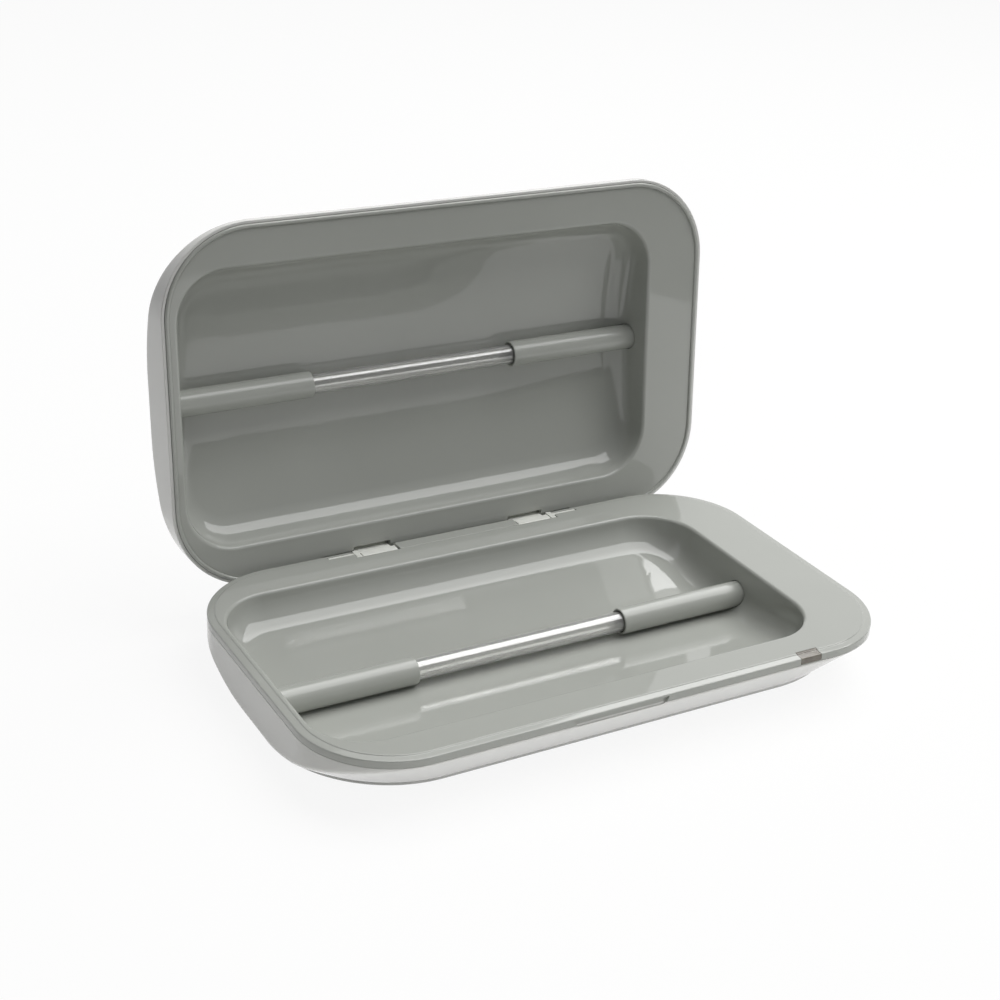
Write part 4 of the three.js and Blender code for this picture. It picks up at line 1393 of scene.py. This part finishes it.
@dataclass
class Shells:
    """The two outer shells: the outline cut by a bowl, with a soft crease between."""

    crease: float = 1.4
    top_edge: float = 0.1
    lip_edge: float = 0.35
    lip_bevel: float = 0.1
    bowl_inset: float = 0.8
    base_top: float = -2.84
    rabbet: float = 2.9
    columns: tuple[int, int, int] = (44, 20, 60)
    levels: int = 44
    inner_levels: int = 5
    bottom_segments: int = 10
    inner_segments: int = 4
    edge_segments: int = 4
    hump_outer: float = -10.5
    hump_width: float = 31.2
    hump_front: float = 52.0
    hump_sink: float = 0.01
    hump_bend: float = -5.8
    hump_floor: float = -8.3
    hump_slant: float = 1.3
    hump_edge: float = 0.5

    def _section(self, z: float) -> RoundedPlan:
        """Gives the bowl's section at a height between its mouth and its foot."""
        share = (CASE.mouth_z - z) / (CASE.mouth_z - CASE.foot_z)
        return CASE.mouth.towards(CASE.foot, max(0.0, min(1.0, share)))

    def _cut_ring(self, outline: RoundedPlan, bowl: RoundedPlan, z: float) -> Place:
        """Gives the ring where outline and bowl meet at a height.

        Args:
            outline: The outline's plan.
            bowl: The bowl's section.
            z: The height.

        Returns:
            The ring's place function: the nearer of the two, with a soft change between.
        """

        def place(corner: Vector, out: Vector) -> Vector:
            """Places one column.

            Args:
                corner: Its place between the corner centres.
                out: Outward direction there.

            Returns:
                Its point.
            """
            at = outline.point(corner, out)
            far = at.length
            along = at / far
            near = bowl.reach(along)
            soft = max(self.crease - abs(far - near), 0.0) / self.crease
            at = along * (min(far, near) - soft * soft * self.crease / 4)
            at.z = z
            return at

        return place

    def _bottom(self, inside: bool, segments: int) -> list[Place]:
        """Gives the rings of the rounding from the bowl's foot to the flat.

        Args:
            inside: Whether they are those of the wall's inside.
            segments: Segments of the rounding.

        Returns:
            The rings' place functions, the foot first.
        """
        inset, wall = (self.bowl_inset, CASE.shell_wall) if inside else (0.0, 0.0)
        rings = []
        for turn in turns(segments):
            plan = CASE.flat.towards(CASE.foot, math.cos(turn)).inset(inset)
            z = CASE.foot_z + (-CASE.depth - CASE.foot_z) * math.sin(turn) + wall
            rings.append(self._cut_ring(CASE.outline.inset(wall), plan, z))
        return rings

    def mesh(self, lid: bool) -> Mesh:
        """Makes a shell before its cuts.

        Args:
            lid: Whether it is the lid's, with a lip round the liner.

        Returns:
            The closed mesh.
        """
        outline, wall = CASE.outline, CASE.shell_wall
        top, edge = (0.0, self.lip_edge) if lid else (self.base_top, self.top_edge)
        *foot, flat = self._bottom(False, self.bottom_segments)
        loft = RingLoft(*self.columns).to(flat).cap().to(*reversed(foot))
        for level in range(1, self.levels + 1):
            z = CASE.foot_z + (top - edge - CASE.foot_z) * level / self.levels
            loft.to(self._cut_ring(outline, self._section(z), z))
        for turn in turns(self.edge_segments)[1:]:
            loft.to(outline.ring(top - edge * (1 - math.sin(turn)), edge * (1 - math.cos(turn))))
        if lid:
            loft.to(outline.ring(top, CASE.lip - self.lip_bevel))
            loft.to(outline.ring(top - self.lip_bevel, CASE.lip), outline.ring(-self.rabbet, CASE.lip))
            top = -self.rabbet
        loft.to(outline.ring(top, wall))
        for level in range(1, self.inner_levels):
            z = top + (CASE.foot_z + wall - top) * level / self.inner_levels
            loft.to(self._cut_ring(outline.inset(wall), self._section(z - wall).inset(self.bowl_inset), z))
        loft.to(*self._bottom(True, self.inner_segments)).cap()
        return loft.closed()

    def hump(self, side: Side) -> Mesh:
        """Makes the hump behind a hinge, which holds the ends of its pin.

        Args:
            side: Which hinge.

        Returns:
            The closed mesh.
        """
        rear = CASE.width / 2 - CASE.fit
        top = self.base_top - self.hump_sink
        outline = [
            (self.hump_front, top),
            (rear, top),
            (rear, self.hump_bend),
            (rear - self.hump_slant, self.hump_floor),
            (self.hump_front, self.hump_floor),
        ]
        made = prism(outline, CASE.hinge_span(side, self.hump_outer, self.hump_width))
        behind = [e for e in made.edges if min(v.co.y for v in e.verts) > self.hump_front + self.hump_edge]
        ease(made, [e for e in behind if min(v.co.z for v in e.verts) < top - self.hump_edge], self.hump_edge)
        return made

    def build(self, hinges: Hinges, recess: FingerRecess, under: "Underside") -> None:
        """Builds both shells.

        Args:
            hinges: The hinges, whose notches and bores are cut.
            recess: The finger recess.
            under: Feet, screws and inlet, for their recesses.
        """
        base = add(self.mesh(False), *[self.hump(side) for side in Side])
        tools = [hinges.sweep(side) for side in Side] + [hinges.pin_bore(side) for side in Side]
        tools += [recess.tool(), *under.recesses()]
        piece("base_shell_moulding", cut(base, *tools), Body.BASE, SHELL_ABS, "base_outer_shell")
        piece("lid_shell_moulding", self.mesh(True), Body.LID, SHELL_ABS, "lid_outer_shell")


@dataclass
class Lamps:
    """A lamp set in each tray: a glass tube that runs into two sleeves."""

    liners: Liners
    tube_radius: float = 3.25
    tube_wall: float = 1.0
    tuck: float = 14.0
    end_radius: float = 1.4
    bays: int = 12
    end_segments: int = 6
    sleeve_wall: float = 0.7
    mouth_edge: float = 0.3
    mouth_segments: int = 4

    def tube(self, seat: LampSeat) -> Mesh:
        """Makes the glass tube: a thin-walled closed tube with domed ends.

        Args:
            seat: Where the lamp lies.

        Returns:
            The mesh, in its tray's half frame.
        """
        low, high = seat.left_mouth - self.tuck, seat.right_mouth + self.tuck
        lower, upper = rounded_ends(self.tube_radius, low, high, self.end_radius, self.end_segments)
        middle = [(self.tube_radius, low + (high - low) * i / self.bays) for i in range(1, self.bays)]
        profile = [(0.0, low), *lower, *middle, *upper, (0.0, high)]
        made = along_x(turned(profile, TUBE_STEPS), seat.y, -seat.depth)
        bmesh.ops.solidify(made, geom=made.faces[:], thickness=self.tube_wall)
        return made

    def sleeve(self, seat: LampSeat, side: Side) -> Mesh:
        """Makes a sleeve: a tube with eased ends.

        Args:
            seat: Where the lamp lies.
            side: Which sleeve.

        Returns:
            The mesh, in its tray's half frame.
        """
        low, high = sorted(seat.span(side))
        inner, ease_half = seat.sleeve_radius - self.sleeve_wall, self.mouth_edge / 2
        lower, upper = rounded_ends(seat.sleeve_radius, low, high, self.mouth_edge, self.mouth_segments)
        profile = [(inner, low + ease_half), (inner + ease_half, low), *lower]
        profile += [*upper, (inner + ease_half, high), (inner, high - ease_half)]
        return along_x(turned(profile, TUBE_STEPS), seat.y, -seat.depth)

    def build(self) -> None:
        """Builds both lamp sets."""
        trays = {Body.BASE: self.liners.base_tray, Body.LID: self.liners.lid_tray}
        for (body, tray), y in zip(trays.items(), (-CASE.lamp_front, CASE.lamp_front)):
            seat = LampSeat(tray, y)
            half = body.value
            piece(f"{half}_lamp_glass", self.tube(seat), body, LAMP_QUARTZ, f"{half}_lamp_tube")
            for side in Side:
                name, node = f"{half}_sleeve_moulding_{side.word}", f"{half}_lamp_sleeve_{side.word}"
                piece(name, self.sleeve(seat, side), body, SLEEVE_ABS, node)


@dataclass
class Indicator:
    """The smoky window over the base's front edge that carries the indicator's light."""

    left: float = 55.6
    width: float = 7.6
    back: float = 56.0
    bottom: float = 2.4
    stem_width: float = 4.0
    stem_front: float = 55.0
    stem_back: float = 52.5
    stem_bottom: float = 4.8
    skin: float = 1.2
    edge: float = 0.12
    room: float = 0.12

    def _stem(self, room: float) -> tuple[Mesh, Mesh]:
        """Makes the window's foot and stem, grown by some room on each side.

        Args:
            room: How much they grow.

        Returns:
            Foot and stem.
        """
        middle = self.left + self.width / 2
        half = self.stem_width / 2 + room
        span = (middle - half, middle + half)
        rear = -self.stem_back + room
        foot = block(span, (-self.back - room, rear), (-self.bottom - room, -self.skin + room))
        top = -self.bottom + room / 2
        stem = block(span, (-self.stem_front - room, rear), (-self.stem_bottom - room, top))
        return foot, stem

    def rooms(self) -> list[Mesh]:
        """Makes the tools that open the liner for the window.

        Returns:
            The tools.
        """
        head = block(
            (self.left - self.room, self.left + self.width + self.room),
            (-CASE.width / 2 - OVERRUN, -self.back + self.room),
            (-self.bottom - self.room, OVERRUN),
        )
        return [head, *self._stem(CASE.fit)]

    def window(self, liners: Liners) -> Mesh:
        """Makes the window, whose top follows the rim's step and shoulder.

        Args:
            liners: The liners, for the rim's profile.

        Returns:
            The closed mesh.
        """
        front = -CASE.width / 2
        outline = [(-self.back, -self.bottom), (-self.back, 0.0)]
        outline += [(front + inset, z) for inset, z in liners.rim()]
        outline += [(front, -self.bottom)]
        made = prism(outline, (self.left, self.left + self.width))
        ease_ends(made, self.edge)
        return add(made, *self._stem(0.0))

    def build(self, liners: Liners) -> None:
        """Builds the window."""
        window = self.window(liners)
        piece("indicator_window", window, Body.BASE, PIPE_SMOKE, "indicator_light_pipe")


@dataclass
class Underside:
    """Feet and screws under the base, and the power inlet in its right end."""

    screw_x: float = 40.0
    screw_y: float = 37.0
    head_radius: float = 2.5
    head_height: float = 1.7
    head_dome: float = 0.45
    dome_segments: int = 6
    head_recess: float = 2.2
    well_depth: float = 1.6
    cross_reach: float = 1.3
    cross_half: float = 0.3
    cross_depth: float = 1.0
    shank_radius: float = 1.3
    shank_top: float = -12.6
    thread_pitch: float = 0.8
    thread_depth: float = 0.25
    thread_inset: float = 0.6
    tip: Span = (0.3, 0.5)
    foot_x: float = 62.0
    foot_y: float = 36.0
    foot_radius: float = 5.0
    foot_recess: float = 0.7
    foot_edge: float = 0.45
    edge_segments: int = 5
    dish: tuple[Span, ...] = ((1.4, 0.25), (1.1, 0.05), (0.9, 0.0))
    inlet_y: float = 16.5
    inlet_inset: float = 0.4
    inlet_width: float = 9.0
    inlet_height: float = 6.5
    inlet_length: float = 13.0
    inlet_bottom: float = -12.0
    inlet_edge: float = 0.3
    mouth_radius: float = 2.9
    mouth_depth: float = 9.0
    mouth_flare: float = 0.3
    mouth_out: float = 0.5
    contact_radius: float = 1.0
    contact_inset: float = 1.0
    contact_root: float = 0.5
    contact_edge: float = 0.35
    room: float = 0.15

    def _corners(self, x: float, y: float) -> Outline:
        """Gives the four mirrored places of a point, front left first."""
        return [(-x, -y), (x, -y), (-x, y), (x, y)]

    def _well(self, radius: float, depth: float, x: float, y: float) -> Mesh:
        """Makes the tool for a round recess of the underside."""
        low, high = -CASE.depth - OVERRUN, -CASE.depth + depth
        return stand(turned([(0, low), (radius, low), (radius, high), (0, high)]), x, y)

    def recesses(self) -> list[Mesh]:
        """Makes the tools that cut the base shell for feet, screws and inlet.

        Returns:
            The tools.
        """
        feet, screws = self._corners(self.foot_x, self.foot_y), self._corners(self.screw_x, self.screw_y)
        tools = [self._well(self.foot_radius + self.room, self.foot_recess, x, y) for x, y in feet]
        tools += [self._well(self.head_radius + CASE.fit, self.well_depth, x, y) for x, y in screws]
        half = self.inlet_width / 2 + self.room
        inlet = block(
            (CASE.length / 2 - 3 * CASE.shell_wall, CASE.length / 2 + OVERRUN),
            (self.inlet_y - half, self.inlet_y + half),
            (self.inlet_bottom - self.room, self.inlet_bottom + self.inlet_height + self.room),
        )
        return [*tools, inlet]

    def screw(self, x: float, y: float) -> Mesh:
        """Makes a screw with a domed head, a cross recess and a thread of plain rings.

        Args:
            x: Its X.
            y: Its Y.

        Returns:
            The closed mesh.
        """
        low = -CASE.depth + self.head_recess - CASE.fit - self.head_height
        high = low + self.head_height
        root = self.shank_radius - self.thread_depth
        dome = turns(self.dome_segments)
        profile = [(self.head_radius * math.sin(t), low + self.head_dome * (1 - math.cos(t))) for t in dome]
        profile += [(self.head_radius, high), (root, high)]
        start = high + self.thread_inset
        while start + self.thread_pitch < self.shank_top - self.thread_inset:
            profile += [(root, start), (self.shank_radius, start + self.thread_pitch / 2)]
            start += self.thread_pitch
        top = self.shank_top
        profile += [(root, top - self.tip[1]), (self.tip[0], top), (0.0, top)]
        long, thin = (-self.cross_reach, self.cross_reach), (-self.cross_half, self.cross_half)
        deep = (low - OVERRUN, low + self.cross_depth)
        return stand(cut(turned(profile, PIN_STEPS), block(long, thin, deep), block(thin, long, deep)), x, y)

    def foot(self, x: float, y: float) -> Mesh:
        """Makes a rubber foot with a dished face.

        Args:
            x: Its X.
            y: Its Y.

        Returns:
            The closed mesh.
        """
        low = -CASE.depth - CASE.foot_height
        high = -CASE.depth + self.foot_recess - CASE.fit
        radius, edge = self.foot_radius, self.foot_edge
        profile = [(0.0, low + self.dish[0][1])]
        profile += [(radius - inside, low + up) for inside, up in self.dish]
        profile += arc((radius - edge, low + edge), edge, self.edge_segments, -90, 0)
        return stand(turned([*profile, (radius, high), (0.0, high)]), x, y)

    def inlet(self) -> Mesh:
        """Makes the power inlet: a block with a round mouth and a centre contact.

        Returns:
            The closed mesh.
        """
        y, half = self.inlet_y, self.inlet_width / 2
        face = CASE.length / 2 - self.inlet_inset
        low, high = self.inlet_bottom, self.inlet_bottom + self.inlet_height
        middle = self.inlet_bottom + self.inlet_height / 2
        body = block((face - self.inlet_length, face), (y - half, y + half), (low, high), self.inlet_edge)
        radius, back, out = self.mouth_radius, face - self.mouth_depth, face + self.mouth_out
        profile = [(0, back), (radius, back), (radius, face - self.mouth_flare)]
        profile += [(radius + self.mouth_flare, out), (0, out)]
        mouth = along_x(turned(profile), y, middle)
        span = (back - self.contact_root, face - self.contact_inset)
        contact = rod(self.contact_radius, span, y, middle, edge=self.contact_edge)
        return add(cut(body, mouth), contact)

    def build(self) -> None:
        """Builds feet, screws and inlet."""
        for number, at in enumerate(self._corners(self.screw_x, self.screw_y), 1):
            name, node = f"base_screw_turned_{number}", f"base_screw_{number}"
            piece(name, self.screw(*at), Body.BASE, PLATED_STEEL, node)
        for number, at in enumerate(self._corners(self.foot_x, self.foot_y), 1):
            name, node = f"foot_moulding_{number}", f"rubber_foot_{number}"
            piece(name, self.foot(*at), Body.BASE, FOOT_RUBBER, node)
        piece("power_inlet_moulding", self.inlet(), Body.BASE, BLACK_PBT, "power_inlet")


@dataclass(frozen=True)
class InnerParts:
    """The solids that stay as they are, out of sight, each with its own finish."""

    finishes: tuple[tuple[str, Finish], ...] = (
        ("lamp_plug", PLUG_SILICONE),
        ("lamp_lead", TINNED_WIRE),
        ("hinge_screw", PLATED_STEEL),
        ("indicator_led", LED_EPOXY),
        ("control_board", SOLDER_MASK),
        ("inverter_transformer", FERRITE),
        ("inverter_capacitor", CAN_SLEEVE),
        ("control_chip", BLACK_PBT),
        ("lid_reed_switch", LAMP_QUARTZ),
        ("lid_magnet", MAGNET_NICKEL),
    )

    def build(self, nodes: dict[str, bpy.types.Object]) -> None:
        """Gives each inner solid its finish.

        Args:
            nodes: The frame's nodes by name.
        """
        for name, node in sorted(nodes.items()):
            finish = next((f for key, f in self.finishes if key in name), None)
            if finish is None:
                continue
            node.data.materials.clear()
            node.data.materials.append(finish.material())
            LOG.info("%s: %s", name, finish.name)


@dataclass(frozen=True)
class SoftLight:
    """A rectangular studio lamp aimed at a point, in metres."""

    name: str
    place: tuple[float, float, float]
    aim: tuple[float, float, float]
    size: Span
    watts: float
    colour: str = "#ffffff"

    def build(self) -> None:
        """Hangs the lamp."""
        data = bpy.data.lights.new(self.name, "AREA")
        data.shape = "RECTANGLE"
        data.size, data.size_y = self.size
        data.energy = self.watts
        data.color = linear(self.colour)[:3]
        lamp = bpy.data.objects.new(self.name, data)
        lamp.location = self.place
        direction = Vector(self.aim) - Vector(self.place)
        lamp.rotation_euler = direction.to_track_quat("-Z", "Y").to_euler()
        bpy.context.scene.collection.objects.link(lamp)


@dataclass(frozen=True)
class Table:
    """A pale part of the floor, by its edges in metres, open to the rear."""

    front: float
    left: float
    right: float

    def covers(self, tree: bpy.types.NodeTree, place: bpy.types.Node) -> bpy.types.NodeSocket:
        """Adds the test of whether a point of the floor lies on the table.

        Args:
            tree: The floor's nodes.
            place: The node that splits the point's place into X, Y and Z.

        Returns:
            The socket that is 1 on the table and 0 beside it.
        """
        edges = (
            ("GREATER_THAN", "Y", self.front),
            ("GREATER_THAN", "X", self.left),
            ("LESS_THAN", "X", self.right),
        )
        tests = [
            add_node(tree, "Math", operation=test, n0=place.outputs[axis], n1=edge).outputs[0]
            for test, axis, edge in edges
        ]
        return reduce(lambda a, b: add_node(tree, "Math", operation="MULTIPLY", n0=a, n1=b).outputs[0], tests)


@dataclass
class Studio:
    """Floor, lights and camera, in metres.

    The camera sees an even near-white floor. The floor lights the object as a small pale
    table does, and the object's gloss mirrors a wider one. Beyond both, the floor's colour for
    bounced light is painted shade: a dark grey that stands for the dim room, where little light falls.
    """

    floor_size: float = 8.0
    floor_z: float = -1.0 * MILLIMETRE
    paper: str = "#f7f7f5"
    # Painted shade: the floor's colour beyond the lit table for bounced light, a dark grey that stands for
    # the dim room; the camera sees paper there.
    painted_shade_grey: str = "#5c5c5b"
    lit_table: Table = Table(-0.202, -0.33, 0.239)
    mirrored_table: Table = Table(-0.6, -4.0, 0.362)
    white_share: float = 0.9
    sky_colour: str = "#fbfcff"
    fill_slope: Span = (0.6, -0.8)
    fill_ends: Span = (-0.5, 0.8)
    back_fill: float = 0.08
    front_fill: float = 0.36
    front_gloss: float = 0.08
    gloss_edge: float = 0.1
    camera_place: tuple[float, float, float] = (-0.2674, -0.4183, 0.2910)
    right: tuple[float, float, float] = (0.87032, -0.48974, 0.05183)
    up: tuple[float, float, float] = (0.16961, 0.39688, 0.90206)
    forward: tuple[float, float, float] = (0.46235, 0.77630, -0.42848)
    lens: float = 64.953
    sensor: float = 36.0
    clip: Span = (0.01, 50.0)
    lights: tuple[SoftLight, ...] = (
        SoftLight("key_softbox", (0.5, 0.08, 1.15), (0.0, 0.0, 0.05), (1.5, 1.2), 19.0),
    )

    def floor(self) -> None:
        """Lays the floor, part paper and part plain white, which keeps the object's shadow."""
        mesh = bmesh.new()
        bmesh.ops.create_grid(mesh, x_segments=4, y_segments=4, size=self.floor_size / 2)
        bmesh.ops.translate(mesh, vec=(0, 0, self.floor_z), verts=mesh.verts[:])
        made = as_object(mesh, "studio_floor")
        paint = bpy.data.materials.new("studio_floor_paper")
        paint.use_nodes = True
        tree = paint.node_tree
        tree.nodes.clear()
        place = add_node(tree, "SeparateXYZ", Vector=add_node(tree, "TexCoord").outputs["Object"])
        path = add_node(tree, "LightPath").outputs
        camera, glossy, through = path["Is Camera Ray"], path["Is Glossy Ray"], path["Is Transmission Ray"]
        # Off the lit table the floor's colour for bounced light is painted shade; the camera always sees the
        # paper.
        lit = add_node(tree, "Math", operation="MAXIMUM", n0=self.lit_table.covers(tree, place), n1=camera)
        dark, pale = linear(self.painted_shade_grey), linear(self.paper)
        paper = add_node(tree, "Mix", data_type="RGBA", n0=lit.outputs[0], n6=dark, n7=pale)
        matte = add_node(tree, "BsdfDiffuse", Color=paper.outputs[2])
        glow = add_node(tree, "Emission", Color=(1, 1, 1, 1), Strength=1.0)
        seen = add_node(tree, "Math", operation="MAXIMUM", n0=glossy, n1=through)
        mirrored = self.mirrored_table.covers(tree, place)
        seen = add_node(tree, "Math", operation="MULTIPLY", n0=seen.outputs[0], n1=mirrored)
        seen = add_node(tree, "Math", operation="MAXIMUM", n0=seen.outputs[0], n1=camera)
        share = add_node(tree, "Math", operation="MULTIPLY", n0=seen.outputs[0], n1=self.white_share)
        mixed = add_node(tree, "MixShader", n0=share.outputs[0], n1=matte.outputs[0], n2=glow.outputs[0])
        add_node(tree, "OutputMaterial", Surface=mixed.outputs[0])
        made.data.materials.append(paint)
        made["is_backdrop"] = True

    def sky(self) -> None:
        """Sets the light round the object: a soft fill, strongest from the front right, and
        for gloss and glass a white backdrop behind with the dim room in front."""
        world = bpy.data.worlds.new("studio_world")
        bpy.context.scene.world = world
        world.use_nodes = True
        tree = world.node_tree
        tree.nodes.clear()
        path = add_node(tree, "LightPath").outputs
        camera, glossy, through = path["Is Camera Ray"], path["Is Glossy Ray"], path["Is Transmission Ray"]
        way = add_node(tree, "SeparateXYZ", Vector=add_node(tree, "TexCoord").outputs["Generated"]).outputs
        across = add_node(tree, "Math", operation="MULTIPLY", n0=way["X"], n1=self.fill_slope[0])
        front = add_node(tree, "Math", operation="MULTIPLY", n0=way["Y"], n1=self.fill_slope[1])
        side = add_node(tree, "Math", operation="ADD", n0=across.outputs[0], n1=front.outputs[0])
        ends = {"From_Min": self.fill_ends[0], "From_Max": self.fill_ends[1]}
        fill = add_node(
            tree, "MapRange", Value=side.outputs[0], **ends, To_Min=self.back_fill, To_Max=self.front_fill
        )
        ends = {"From_Min": -self.gloss_edge, "From_Max": self.gloss_edge}
        gloss = add_node(tree, "MapRange", Value=way["Y"], **ends, To_Min=self.front_gloss, To_Max=1.0)
        even = add_node(tree, "Background", Color=linear(self.sky_colour), Strength=fill.outputs["Result"])
        mirrored = add_node(tree, "Background", Color=(1, 1, 1, 1), Strength=gloss.outputs["Result"])
        white = add_node(tree, "Background", Color=(1, 1, 1, 1), Strength=1.0)
        seen = add_node(tree, "Math", operation="MAXIMUM", n0=glossy, n1=through)
        mixed = add_node(tree, "MixShader", n0=seen.outputs[0], n1=even.outputs[0], n2=mirrored.outputs[0])
        mixed = add_node(tree, "MixShader", n0=camera, n1=mixed.outputs[0], n2=white.outputs[0])
        add_node(tree, "OutputWorld", Surface=mixed.outputs[0])

    def camera(self) -> None:
        """Sets up the camera where the photograph was taken."""
        data = bpy.data.cameras.new("studio_camera")
        data.lens = self.lens
        data.sensor_width = self.sensor
        data.clip_start, data.clip_end = self.clip
        made = bpy.data.objects.new("studio_camera", data)
        turn = Matrix((self.right, self.up, -Vector(self.forward))).transposed().to_4x4()
        made.matrix_world = Matrix.Translation(self.camera_place) @ turn
        bpy.context.scene.collection.objects.link(made)
        bpy.context.scene.camera = made

    def build(self) -> None:
        """Builds floor, world, lights and camera."""
        self.camera()
        self.floor()
        self.sky()
        for light in self.lights:
            light.build()
        bpy.context.scene.view_settings.view_transform = "Standard"


def corners(found: tuple[Vector, Vector]) -> list[list[float]]:
    """Gives a box's two corners as plain lists."""
    return [list(found[0]), list(found[1])]


def main() -> None:
    """Builds the object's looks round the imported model."""
    logging.basicConfig(level=logging.INFO, format="%(name)s: %(message)s", stream=sys.stdout)
    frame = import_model()
    cad_box = corners(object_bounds())
    Studio().build()
    liners, hinges, indicator = Liners(), Hinges(), Indicator()
    recess, under = FingerRecess(), Underside()
    liners.build(hinges, indicator, recess)
    Shells().build(hinges, recess, under)
    hinges.build()
    Lamps(liners).build()
    indicator.build(liners)
    under.build()
    InnerParts().build(frame["nodes"])
    {"cad": cad_box, "visual": corners(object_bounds())}


if __name__ == "__main__":
    main()
